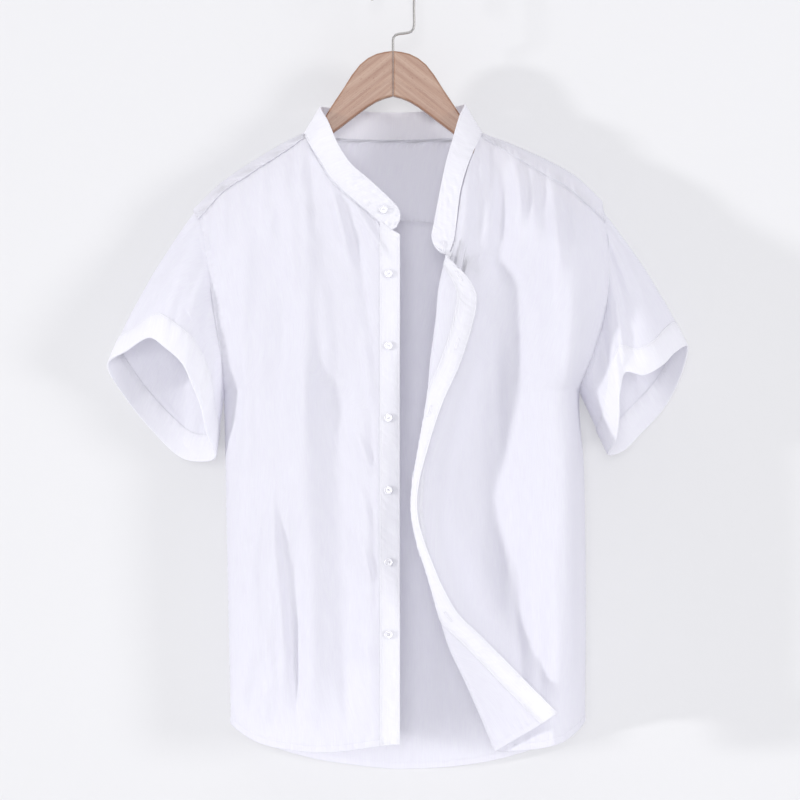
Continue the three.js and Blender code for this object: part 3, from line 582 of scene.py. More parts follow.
def linen_cotton(name="White Linen Cotton Plain Weave", see_through_share=1.0):
    """White plain-weave linen and cotton, washed soft: matt, a little see-through to light, with
    uneven slub threads both ways. The threads are really 0.4 mm apart; they are drawn at 0.9 mm."""
    material, tree = new_material(name)
    props = bpy.context.scene.shirt_looks
    uv = node(tree, "ShaderNodeUVMap", uv_map="cut").outputs[0]
    threads = 1 / (0.9 * MM)
    warp, weft = (bands(tree, uv, way, threads / 6.28, 1.2, 1.0) for way in "XY")
    both_ways = {0: warp.outputs["Fac"], 1: weft.outputs["Fac"]}
    weave = node(tree, "ShaderNodeMath", both_ways, operation="MULTIPLY")
    slub_places = node(tree, "ShaderNodeMapping", {"Vector": uv}, Scale=(900, 45, 1))
    slubs = noise(tree, slub_places.outputs[0], 1.0, 3.0).outputs["Fac"]
    weft_places = node(tree, "ShaderNodeMapping", {"Vector": uv}, Scale=(40, 800, 1))
    weft_slubs = noise(tree, weft_places.outputs[0], 1.0, 3.0).outputs["Fac"]
    rumples = noise(tree, uv, 70.0, 5.0, Roughness=0.55, Distortion=0.6).outputs["Fac"]
    colour = ramp(tree, slubs, linear("f5f4fa"), list(props.cloth_colour) + [1.0], 0.35, 0.65).outputs[0]
    rumpled = bump(tree, rumples, 0.3, 1.2 * MM)
    slubbed = bump(tree, slubs, 0.2, 0.12 * MM, rumpled)
    slubbed_weft = bump(tree, weft_slubs, 0.2, 0.1 * MM, slubbed)
    woven = bump(tree, weave.outputs[0], 0.2, 0.08 * MM, slubbed_weft)
    face_inputs = {"Base Color": colour, "Normal": woven.outputs[0]}
    face = node(tree, "ShaderNodeBsdfPrincipled", face_inputs, Roughness=0.9)
    face.inputs["Specular IOR Level"].default_value = 0.2
    face.inputs["Sheen Weight"].default_value = 0.15
    face.inputs["Sheen Roughness"].default_value = 0.6
    through = node(tree, "ShaderNodeBsdfTranslucent", {"Color": colour, "Normal": rumpled.outputs[0]})
    mixed = node(tree, "ShaderNodeMixShader", {1: face.outputs[0], 2: through.outputs[0]})
    mixed.inputs[0].default_value = props.see_through * see_through_share
    return finished(material, tree, mixed)


def doubled_linen_cotton():
    """The same cloth folded double and pressed: whiter, because less light gets through it."""
    return linen_cotton("White Linen Cotton Plain Weave Doubled", 0.6)


def sewing_thread():
    """White polyester core-spun thread: a faint twist and a soft gloss."""
    material, tree = new_material("White Core-Spun Sewing Thread")
    place = node(tree, "ShaderNodeTexCoord").outputs["Object"]
    twist = noise(tree, place, 2500.0, 1.0).outputs["Fac"]
    twisted = bump(tree, twist, 0.3, 0.1 * MM)
    tone = ramp(tree, twist, linear("e4e3ea"), linear("f4f3f8"))
    links = {"Base Color": tone.outputs[0], "Normal": twisted.outputs[0]}
    return finished(material, tree, node(tree, "ShaderNodeBsdfPrincipled", links, Roughness=0.55))


def pearl_resin():
    """Polyester button resin, turned and polished: milky white with faint pearly clouds."""
    material, tree = new_material("White Pearl Polyester Resin")
    place = node(tree, "ShaderNodeTexCoord").outputs["Object"]
    clouds = noise(tree, place, 420.0, 3.0, Distortion=1.5).outputs["Fac"]
    tone = ramp(tree, clouds, linear("dcdbe3"), linear("f2f2f5"))
    cloudy = bump(tree, clouds, 0.08, 0.1 * MM)
    links = {"Base Color": tone.outputs[0], "Normal": cloudy.outputs[0]}
    return finished(material, tree, coated(tree, links, 0.4, 0.1, Roughness=0.22, IOR=1.56))


def lacquered_beech():
    """European beech, sanded and clear lacquered: pink-brown, fine straight grain along each arm
    with short dark ray flecks, and a satin film."""
    material, tree = new_material("Satin Lacquered Beech")
    place = node(tree, "ShaderNodeTexCoord").outputs["Object"]
    mirrored = node(tree, "ShaderNodeVectorMath", {0: place}, operation="ABSOLUTE")
    arm_slope = math.radians(38)
    along_arm = node(tree, "ShaderNodeMapping", {"Vector": mirrored.outputs[0]}, Rotation=(0, arm_slope, 0))
    turned = along_arm.outputs[0]
    stretched = node(tree, "ShaderNodeMapping", {"Vector": turned}, Scale=(14, 260, 420))
    grain = noise(tree, stretched.outputs[0], 1.0, 6.0, Roughness=0.6).outputs["Fac"]
    fleck_places = node(tree, "ShaderNodeMapping", {"Vector": turned}, Scale=(330, 900, 1500))
    flecks = noise(tree, fleck_places.outputs[0], 1.0, 2.0).outputs["Fac"]
    rings = bands(tree, turned, "Z", 26.0, 2.6, 2.0).outputs["Fac"]
    tone = ramp(tree, grain, linear("926c56"), linear("ab8c77"), 0.3, 0.72)
    ringed = darkened(tree, tone.outputs[0], rings, linear("efe3da"))
    fleck_level = node(tree, "ShaderNodeMath", {0: flecks}, operation="GREATER_THAN")
    fleck_level.inputs[1].default_value = 0.66
    flecked = darkened(tree, ringed, fleck_level.outputs[0], linear("e3cfc2"))
    grained = bump(tree, grain, 0.15, 0.2 * MM)
    links = {"Base Color": flecked, "Normal": grained.outputs[0]}
    return finished(material, tree, coated(tree, links, 0.25, 0.3, Roughness=0.42, IOR=1.5))


def plated_wire():
    """Nickel-plated steel wire, drawn: bright, with fine lines along it."""
    material, tree = new_material("Nickel Plated Drawn Steel Wire")
    place = node(tree, "ShaderNodeTexCoord").outputs["Object"]
    lines = node(tree, "ShaderNodeMapping", {"Vector": place}, Scale=(2200, 2200, 60))
    drawn = noise(tree, lines.outputs[0], 1.0, 2.0).outputs["Fac"]
    rough = node(tree, "ShaderNodeMapRange", {"Value": drawn})
    rough.inputs["To Min"].default_value = 0.16
    rough.inputs["To Max"].default_value = 0.3
    lined = bump(tree, drawn, 0.1, 0.05 * MM)
    links = {"Roughness": rough.outputs[0], "Normal": lined.outputs[0]}
    face = node(tree, "ShaderNodeBsdfPrincipled", links, Metallic=1.0)
    face.inputs["Base Color"].default_value = linear("cfcdca")
    return finished(material, tree, face)


MATERIALS = {
    "cloth": linen_cotton,
    "band": doubled_linen_cotton,
    "thread": sewing_thread,
    "button": pearl_resin,
    "wood": lacquered_beech,
    "wire": plated_wire,
}


# ---------- places on the body's pieces ----------

def stack(x, y, z):
    return np.stack(np.broadcast_arrays(x, y, z), -1)


def right_front_top(x):
    return np.where(x < -NECK_CORNER_X, yoke_front_z(x), neck_right_z(x)) + SEAM_LAP * 0.5


def right_front_place(u, v):
    """Between the side edge and the placket's seam at each height, and from the yoke or the neck
    down to the hem."""
    def x_at(z):
        return lerp(left_x(z), PLACKET_SEAM_X + SEAM_LAP, side_ease(u))
    z = settle(v, x_at, right_front_top, front_hem_z)
    x = x_at(z)
    return stack(x, front_y(x, z), z)


def button_placket_place(u, v):
    x = lerp(PLACKET_SEAM_X, PLACKET_SEAM_X + PLACKET_WIDTH, u)
    z = lerp(neck_right_z(x) + SEAM_LAP * 0.5, front_hem_z(x), v)
    return stack(x, front_y(x, z), z)


def left_front_top(x):
    return np.where(x > NECK_CORNER_X, yoke_front_z(x), neck_left_z(x)) + SEAM_LAP * 0.3


def main_place(distance, v):
    """On the front at a distance from the fold, which may depend on the height."""
    def x_at(z):
        return turn_x(z) + distance(z)
    z = settle(v, x_at, left_front_top, front_hem_z)
    x = x_at(z)
    return stack(x, front_y(x, z), z)


def turned_rows(v):
    """The fold's place, the way out to the free edge, the roll's radius and the cloth's reach."""
    z = settle(v, turn_x, left_front_top, front_hem_z)
    fold = np.stack([turn_x(z), z], -1)
    out = np.stack([turn_edge_x(z), turn_edge_z(z)], -1) - fold
    width = np.linalg.norm(out, axis=-1)
    radius = np.minimum(ROLL_RADIUS, width / 2.2)
    return fold, out / width[..., None], radius, width - radius + radius * np.pi / 2


def turned_place(reach, v):
    """reach is the distance past the fold along the cloth: the front before it, then half a turn
    of the roll, then the turned-back part lying over the front."""
    fold, direction, radius, _ = turned_rows(v)
    quarter = radius * np.pi / 2
    angle = np.clip(reach / radius, -np.pi / 2, np.pi / 2)
    before = main_place(lambda z: radius * (1 - np.cos(angle)) + np.maximum(-reach - quarter, 0), v)
    before[..., 1] -= radius * (1 + np.sin(angle))
    straight = np.maximum(reach - quarter, 0)
    distance = radius * (1 - np.cos(angle)) + straight
    x = fold[..., 0] + direction[..., 0] * distance
    z = fold[..., 1] + direction[..., 1] * distance
    y = front_y(x, z) - radius * (1 + np.sin(angle)) - FLAP_LIFT * straight
    return np.where((reach <= 0)[..., None], before, stack(x, y, z))


NEAR_FOLD = 22 * MM
SIDE_RUN = 0.6


def left_front_place(u, v):
    """From the side edge to near the fold, then at set distances past it to the placket's seam."""
    _, _, radius, free = turned_rows(v)
    nearest = radius - radius * np.pi / 2 + NEAR_FOLD
    share = side_ease(np.minimum(u / SIDE_RUN, 1))
    side = main_place(lambda z: lerp(right_x(z) - turn_x(z), nearest, share), v)
    end = free - PLACKET_WIDTH + SEAM_LAP
    turned = turned_place(lerp(-NEAR_FOLD, end, np.clip((u - SIDE_RUN) / (1 - SIDE_RUN), 0, 1)), v)
    return np.where((u <= SIDE_RUN)[..., None], side, turned)


def buttonhole_placket_place(u, v):
    free = turned_rows(v)[3]
    return turned_place(lerp(free - PLACKET_WIDTH, free, u), v)


def back_place(u, v):
    share = lerp((1 - np.cos(np.pi * u)) / 2, u, 0.35 * np.sin(np.pi * u))
    def x_at(z):
        return lerp(right_x(z), left_x(z), share)
    z = settle(v, x_at, lambda x: yoke_back_z(x) + SEAM_LAP, back_hem_z)
    x = x_at(z)
    return stack(x, back_y(x, z), z)


YOKE_OUTER_SHARE = 0.27
YOKE_RIDGE_SHARE = 0.4
NECK_POINT_X = 102 * MM
NECK_SEAM_Z = -187 * MM
NECK_EDGE_DROP = 3 * MM


def shoulder_column(x, v):
    """From the yoke's front seam up to the shoulder line as a sine, then down the back to its back
    seam as a cosine, so that the cloth goes round the shoulder without a corner."""
    top = shoulder_z(x)
    rise = np.sin(np.pi / 2 * np.clip(v / YOKE_RIDGE_SHARE, 0, 1))
    fall = 1 - np.cos(np.pi / 2 * np.clip((v - YOKE_RIDGE_SHARE) / (1 - YOKE_RIDGE_SHARE), 0, 1))
    front_z = lerp(yoke_front_z(x) - 1 * MM, top, rise)
    back_z = lerp(top, yoke_back_z(x) - 1 * MM, fall)
    on_front = v < YOKE_RIDGE_SHARE
    z = np.where(on_front, front_z, back_z)
    return stack(x, np.where(on_front, front_y(x, front_z), back_y(x, back_z)), z)


def yoke_end_x(edge_x, side, v):
    x = np.full(np.shape(v), edge_x(-0.29))
    for _ in range(8):
        x = edge_x(shoulder_column(x, v)[..., 2]) + side * 1 * MM
    return x


def yoke_place(u, v):
    """Across from the wearer's left shoulder to the right one, and over the shoulders from front
    to back; between them it starts at the neck seam."""
    near_share = np.clip(u / YOKE_OUTER_SHARE, 0, 1)
    near = shoulder_column(lerp(yoke_end_x(right_x, 1, v), NECK_POINT_X, near_share), v)
    far_share = np.clip((1 - u) / YOKE_OUTER_SHARE, 0, 1)
    far = shoulder_column(lerp(yoke_end_x(left_x, -1, v), -NECK_POINT_X, far_share), v)
    x = lerp(NECK_POINT_X, -NECK_POINT_X, np.clip((u - YOKE_OUTER_SHARE) / (1 - 2 * YOKE_OUTER_SHARE), 0, 1))
    strip = np.minimum(v / YOKE_RIDGE_SHARE, 1)
    fall = 1 - np.cos(np.pi / 2 * np.clip((v - YOKE_RIDGE_SHARE) / (1 - YOKE_RIDGE_SHARE), 0, 1))
    z = lerp(NECK_SEAM_Z - NECK_EDGE_DROP * strip, yoke_back_z(x) - 1 * MM, fall)
    middle = stack(x, back_y(x, z), z)
    chosen = np.where((u <= YOKE_OUTER_SHARE)[..., None], near, middle)
    return np.where((u >= 1 - YOKE_OUTER_SHARE)[..., None], far, chosen)


def collar_curves():
    """The band's seam and its upper edge, as two curves through the collar table."""
    x, z = COLLAR["x"], COLLAR["z"]
    row = np.arange(len(x))
    on_back = (row >= COLLAR_FRONT_ROWS) & (row < len(x) - COLLAR_FRONT_ROWS)
    y = np.where(on_back, back_y(x, z), front_y(x, z))
    seam = stack(x, y, z)
    top = stack(COLLAR["topX"], y + COLLAR["lean"], COLLAR["topZ"])
    return smooth_curve(top), smooth_curve(seam)


COLLAR_TOP, COLLAR_SEAM = collar_curves()


def collar_place(u, v):
    """Straight from the upper edge to the seam."""
    top, seam = COLLAR_TOP(u), COLLAR_SEAM(u)
    return top + (seam - top) * v[..., None]


SLEEVE_GAP = 0.3 * MM
SLEEVE_BULGE = 7 * MM

# Folds along the sleeves: fraction round the sleeve at each end, start and end down its length,
# half-width as a fraction round, and height
SLEEVE_FOLD_COLUMNS = "u0 v0 u1 v1 width height"


def sleeve_table(rows):
    columns = np.array(rows, float).T
    made = dict(zip(SLEEVE_FOLD_COLUMNS.split(), columns))
    made["height"] = made["height"] * MM
    return made


RIGHT_SLEEVE_FOLDS = sleeve_table([
    (0.12, 0.05, 0.17, 1.1, 0.05, 8), (0.29, 0.02, 0.32, 0.98, 0.055, -9), (0.20, 0.0, 0.21, 0.5, 0.015, 3),
    (0.06, -0.1, 0.05, 0.5, 0.02, -3), (0.24, -0.1, 0.26, 0.45, 0.018, -3), (0.41, 0.2, 0.42, 1.1, 0.03, 5),
    (0.16, 0.3, 0.19, 0.95, 0.012, -2), (0.35, 0.3, 0.37, 0.9, 0.015, 2.5), (0.09, 0.4, 0.11, 0.95, 0.014, 2),
    (0.62, 0.1, 0.60, 0.9, 0.03, 4), (0.70, 0.0, 0.68, 0.9, 0.03, -4), (0.80, 0.0, 0.78, 0.8, 0.035, 4),
    (0.90, 0.0, 0.88, 0.6, 0.03, -3)])
LEFT_SLEEVE_FOLDS = sleeve_table([
    (0.09, 0.0, 0.12, 0.8, 0.03, 3.0), (0.17, 0.0, 0.21, 0.95, 0.028, -4), (0.27, -0.1, 0.31, 1.1, 0.04, 4),
    (0.36, 0.1, 0.37, 0.95, 0.03, -3), (0.43, 0.05, 0.44, 0.9, 0.03, 4), (0.05, -0.1, 0.04, 0.4, 0.018, -3),
    (0.13, -0.1, 0.15, 0.4, 0.016, 3), (0.22, 0.2, 0.25, 0.9, 0.013, 2.2),
    (0.30, 0.0, 0.33, 0.6, 0.012, -2.5),
    (0.62, 0.1, 0.60, 0.9, 0.03, 4), (0.70, 0.0, 0.68, 0.9, 0.03, -4), (0.80, 0.0, 0.78, 0.8, 0.035, 4),
    (0.90, 0.0, 0.88, 0.6, 0.03, -3)])


class Sleeve:
    """A tube from the armhole to the cuff's rim, straight between them and bowed out in the middle.
    u goes round from the shoulder by the front to the underarm and back; v goes down it."""

    def __init__(self, rim_rows, side, edge_x, folds):
        self.side, self.edge_x, self.folds = side, edge_x, folds
        self.rim = smooth_curve(np.stack([rim_rows["x"], rim_rows["y"], rim_rows["z"]], -1), closed=True)
        self.underarm = RIM_UNDERARM_ROW / len(rim_rows["x"])

    def armhole(self, u):
        z = lerp(SLEEVE_TOP_Z, UNDERARM_Z, (1 - np.cos(2 * np.pi * u)) / 2)
        x = self.edge_x(z)
        y = np.where(u < 0.5, front_y(x, z), back_y(x, z))
        return stack(x - self.side * SLEEVE_GAP, y, z)

    def rim_point(self, u):
        return self.rim(np.where(u < 0.5, 2 * u * self.underarm, lerp(self.underarm, 1, 2 * u - 1)))

    def place(self, u, v):
        start, end = self.armhole(u), self.rim_point(u)
        point = lerp(start, end, v[..., None])
        swell = SLEEVE_BULGE * 4 * v * (1 - v)
        lift = swell.copy()
        for u0, v0, u1, v1, width, height in zip(*(self.folds[name] for name in SLEEVE_FOLD_COLUMNS.split())):
            along = np.clip((v - v0) / (v1 - v0), 0, 1)
            around = (u - lerp(u0, u1, along) + 0.5) % 1 - 0.5
            lift += height * bell(around, width) * np.sqrt(np.sin(np.pi * along))
        lift += 0.4 * MM * np.sin(2 * np.pi * (11 * u + 3 * v)) * np.sin(np.pi * v)
        point[..., 0] += self.side * (swell * np.maximum(np.cos(2 * np.pi * u), 0)
                                      + (lift - swell) * 0.5 * np.maximum(np.cos(2 * np.pi * u), 0))
        point[..., 1] -= lift * np.sin(2 * np.pi * u)
        return point

    def seam_share(self, u):
        return 1 - CUFF_WIDTH / np.linalg.norm(self.armhole(u) - self.rim_point(u), axis=-1)

    def flip(self, u):
        return (1 - u if self.side < 0 else u) % 1

    def body(self, u, v):
        u = self.flip(u)
        return self.place(u, (self.seam_share(u) + 0.03) * v)

    def cuff(self, u, v):
        u = self.flip(u)
        return self.place(u, lerp(self.seam_share(u) - 0.004, 1, v))


RIGHT_SLEEVE = Sleeve(RIGHT_CUFF_RIM, -1, left_x, RIGHT_SLEEVE_FOLDS)
LEFT_SLEEVE = Sleeve(LEFT_CUFF_RIM, 1, right_x, LEFT_SLEEVE_FOLDS)


# ---------- operators: one for each group of pieces ----------

CLOTH_THICKNESS = 0.8 * MM
BAND_THICKNESS = 1.5 * MM
COLLAR_THICKNESS = 1.8 * MM
CUFF_THICKNESS = 2.4 * MM


def grid(us, vs):
    return np.meshgrid(us, vs)


class SHIRT_OT_right_front(bpy.types.Operator):
    """Builds the wearer's right front and its button placket"""
    bl_idname = "shirt.right_front"
    bl_label = "Right Front"

    def execute(self, context):
        u, v = grid(spread(0.21, 3 * MM, both=True), spread(0.68, 3.2 * MM))
        points = right_front_place(u, v)
        cloth_piece("right_front_cloth", points, CLOTH_THICKNESS, ["front_right_panel"],
                    relief=lambda a, b: edge_relief(a, b, hem=True, sides=("top", "start"), pucker=0.5 * MM)
                    + seam_groove(b, 4.2 * MM, 1.3 * MM))
        u, v = grid(np.linspace(0, 1, 24), spread(0.58, 2.6 * MM))
        points = button_placket_place(u, v)
        cloth_piece("button_placket_cloth", points, BAND_THICKNESS, ["button_placket"],
                    proud=PROUD,
                    relief=lambda a, b: edge_relief(a, b, sides=("start", "end", "bottom")))
        return {"FINISHED"}


class SHIRT_OT_left_front(bpy.types.Operator):
    """Builds the wearer's left front, turned back along its edge, and its buttonhole placket"""
    bl_idname = "shirt.left_front"
    bl_label = "Left Front"

    def execute(self, context):
        side = np.linspace(0, SIDE_RUN, 96)
        turned = np.linspace(SIDE_RUN, 1, 44)[1:]
        u, v = grid(np.concatenate([side, turned]), spread(0.68, 2.6 * MM))
        points = left_front_place(u, v)
        cloth_piece("left_front_cloth", points, CLOTH_THICKNESS, ["front_left_panel"],
                    face=-1,
                    relief=lambda a, b: edge_relief(a, b, hem=True, sides=("start",))
                    + (edge_relief(a, b, sides=("top",)) + seam_groove(b, 4.2 * MM, 1.3 * MM))
                    * (1 - smoothstep(a, 118 * MM, 138 * MM)))
        u, v = grid(np.linspace(0, 1, 26), spread(0.58, 2.2 * MM))
        points = buttonhole_placket_place(u, v)
        cloth_piece("buttonhole_placket_cloth", points, BAND_THICKNESS, ["buttonhole_placket"],
                    proud=0.3 * MM,
                    relief=lambda a, b: edge_relief(a, b, sides=("start", "end", "bottom"))
                    + crumple(b, a, 27, 15 * MM, 0.9 * MM, 20 * MM, 120 * MM))
        return {"FINISHED"}


class SHIRT_OT_back(bpy.types.Operator):
    """Builds the back panel below the yoke"""
    bl_idname = "shirt.back"
    bl_label = "Back"

    def execute(self, context):
        u, v = grid(spread(0.45, 3.6 * MM), spread(0.62, 4 * MM))
        cloth_piece("back_cloth", back_place(u, v), CLOTH_THICKNESS, ["back_panel"],
                    relief=lambda a, b: edge_relief(a, b, hem=True))
        return {"FINISHED"}


class SHIRT_OT_yoke(bpy.types.Operator):
    """Builds the yoke over both shoulders"""
    bl_idname = "shirt.yoke"
    bl_label = "Yoke"

    def execute(self, context):
        before_ridge = np.linspace(0, YOKE_RIDGE_SHARE, 22)
        down = np.concatenate([before_ridge, np.linspace(YOKE_RIDGE_SHARE, 1, 34)[1:]])
        u, v = grid(spread(0.58, 2.8 * MM), down)
        cloth_piece("yoke_cloth", yoke_place(u, v), CLOTH_THICKNESS, ["yoke"],
                    proud=PROUD,
                    relief=lambda a, b: edge_relief(a, b, sides=("top", "bottom"), depth=0.3 * MM,
                                                    pucker=0.9 * MM))
        return {"FINISHED"}


class SHIRT_OT_collar(bpy.types.Operator):
    """Builds the standing collar band"""
    bl_idname = "shirt.collar"
    bl_label = "Collar Band"

    def execute(self, context):
        u, v = grid(spread(0.66, 2.2 * MM), np.linspace(0, 1, 22))

        def relief(across, along):
            edges = edge_relief(across, along, sides=("top", "bottom", "start", "end"), depth=0.3 * MM)
            return (edges + crumple(across, along, 21, 14 * MM, 2.6 * MM, 5 * MM, 105 * MM)
                    + crumple(across, along, 24, 19 * MM, 1.2 * MM, 470 * MM, 610 * MM))
        obj = cloth_piece("collar_cloth", collar_place(u, v), COLLAR_THICKNESS, ["collar_band"],
                          proud=0.5 * MM, face=-1, relief=relief)
        rounded_edges(obj)
        return {"FINISHED"}


class SHIRT_OT_sleeves(bpy.types.Operator):
    """Builds both sleeves and their turned-up cuffs"""
    bl_idname = "shirt.sleeves"
    bl_label = "Sleeves"

    def execute(self, context):
        for name, tube in (("right", RIGHT_SLEEVE), ("left", LEFT_SLEEVE)):
            u, v = grid(np.linspace(0, 1, 181)[:-1], spread(0.2, 3 * MM))
            cloth_piece(f"sleeve_{name}_cloth", tube.body(u, v), CLOTH_THICKNESS, [f"sleeve_{name}"],
                        ring=True, face=-1)
            u, v = grid(np.linspace(0, 1, 181)[:-1], np.linspace(0, 1, 18))
            obj = cloth_piece(f"cuff_{name}_cloth", tube.cuff(u, v), CUFF_THICKNESS, [f"cuff_{name}"],
                              ring=True, proud=0.35 * MM, face=-1,
                              relief=lambda a, b: edge_relief(a, b, sides=("top",)))
            rounded_edges(obj)
        return {"FINISHED"}


def rounded_edges(obj):
    """Rounds the folded edges of a doubled band."""
    bevel = obj.modifiers.new("folded edge", "BEVEL")
    bevel.width = 0.7 * MM
    bevel.segments = 3
    bevel.limit_method = "ANGLE"
    bevel.angle_limit = math.radians(60)


# ---------- buttons, thread and hanger ----------

BUTTON_STAND = 2.0 * MM  # height of the button's underside over the cloth's place
DISH_HEIGHT = 1.62 * MM
DISH_RADIUS = 2.9 * MM
BUTTON_SIDES = 64
DISH_RINGS = 30
HOLE_RADIUS = 0.65 * MM
HOLE_PLACE = 1.25 * MM
COLLAR_BUTTON_ALONG = 0.125


def button_points():
    """A button as a turned profile: underside, rounded rim, raised lip and dished middle, with four
    holes pressed in as bells."""
    radius = np.array([0, 2, 3.6, 4.3, 4.75, 4.95, 5, 4.95, 4.8, 4.5, 4.15, 3.8, 3.5, 3.2, 3.0]) * MM
    height = np.array([0, 0, 0, 0.12, 0.35, 0.7, 1.1, 1.6, 2.0, 2.3, 2.4, 2.3, 2.0, 1.75, 1.65]) * MM
    rim_rows = len(radius)
    radius = np.concatenate([radius, np.linspace(DISH_RADIUS, 0.0, DISH_RINGS)])
    height = np.concatenate([height, np.full(DISH_RINGS, DISH_HEIGHT)])
    angle = np.linspace(0, 2 * np.pi, BUTTON_SIDES, endpoint=False)
    r, a = np.meshgrid(radius, angle, indexing="ij")
    z = np.repeat(height[:, None], BUTTON_SIDES, 1)
    x, y = r * np.cos(a), r * np.sin(a)
    on_top = (np.arange(len(radius)) >= rim_rows)[:, None]
    for quarter in range(4):
        turn = np.pi / 4 + quarter * np.pi / 2
        away = np.hypot(x - HOLE_PLACE * math.cos(turn), y - HOLE_PLACE * math.sin(turn))
        z = z - np.where(on_top, 1.1 * MM * smoothstep(HOLE_RADIUS + 0.12 * MM - away, 0, 0.24 * MM), 0)
    return np.stack([x, y, z], -1)


def tube_points(path, radius, sides=8):
    """A round tube along a path of points, its sections turned square to the path."""
    tangent = np.gradient(path, axis=0)
    tangent /= np.linalg.norm(tangent, axis=1, keepdims=True)
    side = np.cross(tangent, [0.13, 0.31, 0.94])
    side /= np.linalg.norm(side, axis=1, keepdims=True)
    other = np.cross(tangent, side)
    angle = np.linspace(0, 2 * np.pi, sides, endpoint=False)
    ring = side[:, None] * np.cos(angle)[None, :, None] + other[:, None] * np.sin(angle)[None, :, None]
    taper = np.ones(len(path))
    taper[[0, -1]] = 0.05
    return path[:, None] + ring * (radius * taper)[:, None, None]


def place_frame(middle, east, up):
    """Axes for a piece that lies on cloth: east and up along it, the third straight out of it."""
    out = np.cross(up, east)
    out = out / np.linalg.norm(out)
    out = -out if out[1] > 0 else out
    east = east - out * np.dot(east, out)
    east = east / np.linalg.norm(east)
    return middle, np.stack([east, np.cross(out, east), out])


def button_frames():
    frames = []
    reach = 4 * MM
    for i in range(BUTTON_COUNT):
        z = BUTTON_TOP_Z - i * BUTTON_SPACING
        x = np.array([BUTTON_X, BUTTON_X + reach, BUTTON_X - reach, BUTTON_X, BUTTON_X])
        zs = np.array([z, z, z, z + reach, z - reach])
        p = stack(x, front_y(x, zs), zs)
        frames.append((f"button_{i + 1}", place_frame(p[0], p[1] - p[2], p[3] - p[4])))
    u = COLLAR_BUTTON_ALONG + np.array([0, 0.01, -0.01, 0, 0])
    v = 0.5 + np.array([0, 0, 0, -0.1, 0.1])
    p = collar_place(u, v)
    frames.append(("collar_button", place_frame(p[0], p[1] - p[2], p[3] - p[4])))
    return frames


def thread_object(name, groups):
    """Several tubes of thread as one mesh; each group is a grid of points going round the tube."""
    points, faces, count = [], [], 0
    for tube in groups:
        rows, columns = tube.shape[:2]
        points.append(tube.reshape(-1, 3))
        faces.append(grid_faces(rows, columns, True) + count)
        count += rows * columns
    return mesh_object(name, np.vstack(points), np.vstack(faces))


class SHIRT_OT_buttons(bpy.types.Operator):
    """Sews the six front buttons and the collar's button on"""
    bl_idname = "shirt.buttons"
    bl_label = "Buttons"

    def execute(self, context):
        shape = button_points()
        for name, (middle, axes) in button_frames():
            stand = middle + axes[2] * BUTTON_STAND
            points = stand + (shape.reshape(-1, 3) @ axes)
            obj = mesh_object(name + "_pearl", points, grid_faces(*shape.shape[:2], True)[:, ::-1])
            obj.data.materials.append(look("button"))
            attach(obj, "root")
            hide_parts(name)
            bars = []
            for turn in (np.pi / 4, 3 * np.pi / 4):
                ends = np.array([[math.cos(turn), math.sin(turn), 0]]) * HOLE_PLACE
                t = np.linspace(-1, 1, 9)[:, None]
                height = DISH_HEIGHT + 0.45 * MM * (1 - t ** 4) - 0.9 * MM * t ** 8
                arch = np.concatenate([t * ends[:, :2], height], 1)
                for shift in (-0.22, 0.22):
                    moved = arch + np.array([-ends[0, 1], ends[0, 0], 0]) * shift
                    bars.append(tube_points(stand + moved @ axes, 0.2 * MM, 6))
            post = np.stack([np.zeros(4), np.zeros(4), np.linspace(-2.2, 0.3, 4) * MM], -1)
            bars.append(tube_points(stand + post @ axes, 0.9 * MM, 10))
            thread = thread_object(name + "_thread", bars)
            thread.data.materials.append(look("thread"))
            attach(thread, "root")
        return {"FINISHED"}


STITCH_GAP = 0.7 * MM
STITCH_RADIUS = 0.2 * MM
STITCH_SECTIONS = 5
STITCH_SIDES = 5
STITCH_BOW = 0.28 * MM
STITCH_SINK = 0.1 * MM  # depth of a stitch's ends in the cloth


def distance_along(line):
    steps = np.linalg.norm(np.diff(line, axis=0), axis=1)
    return np.concatenate([[0], np.cumsum(steps)])


def places_along(at, run, line):
    """Points at distances along a line whose own points lie at the distances in run."""
    return np.stack([np.interp(at, run, line[:, axis]) for axis in range(3)], -1)


def line_on(name, side, distance):
    """The line on a piece at a distance from one of its sides: at each row or column of its grid,
    the point between the two neighbours that the distance falls between, and the normal there."""
    points, normal, across, along = SURFACES[name]
    if side in ("top", "bottom"):
        points, normal, gauge = points.swapaxes(0, 1), normal.swapaxes(0, 1), along.T
    else:
        gauge = across
    if side in ("end", "bottom"):
        distance = gauge[:, -1] - distance
    distance = np.broadcast_to(distance, gauge.shape[:1])
    last = gauge.shape[1] - 2
    index = np.clip((gauge < distance[:, None]).sum(axis=1) - 1, 0, last)
    row = np.arange(len(index))
    share = ((distance - gauge[row, index]) / (gauge[row, index + 1] - gauge[row, index]))[:, None]
    return (lerp(points[row, index], points[row, index + 1], share),
            lerp(normal[row, index], normal[row, index + 1], share))


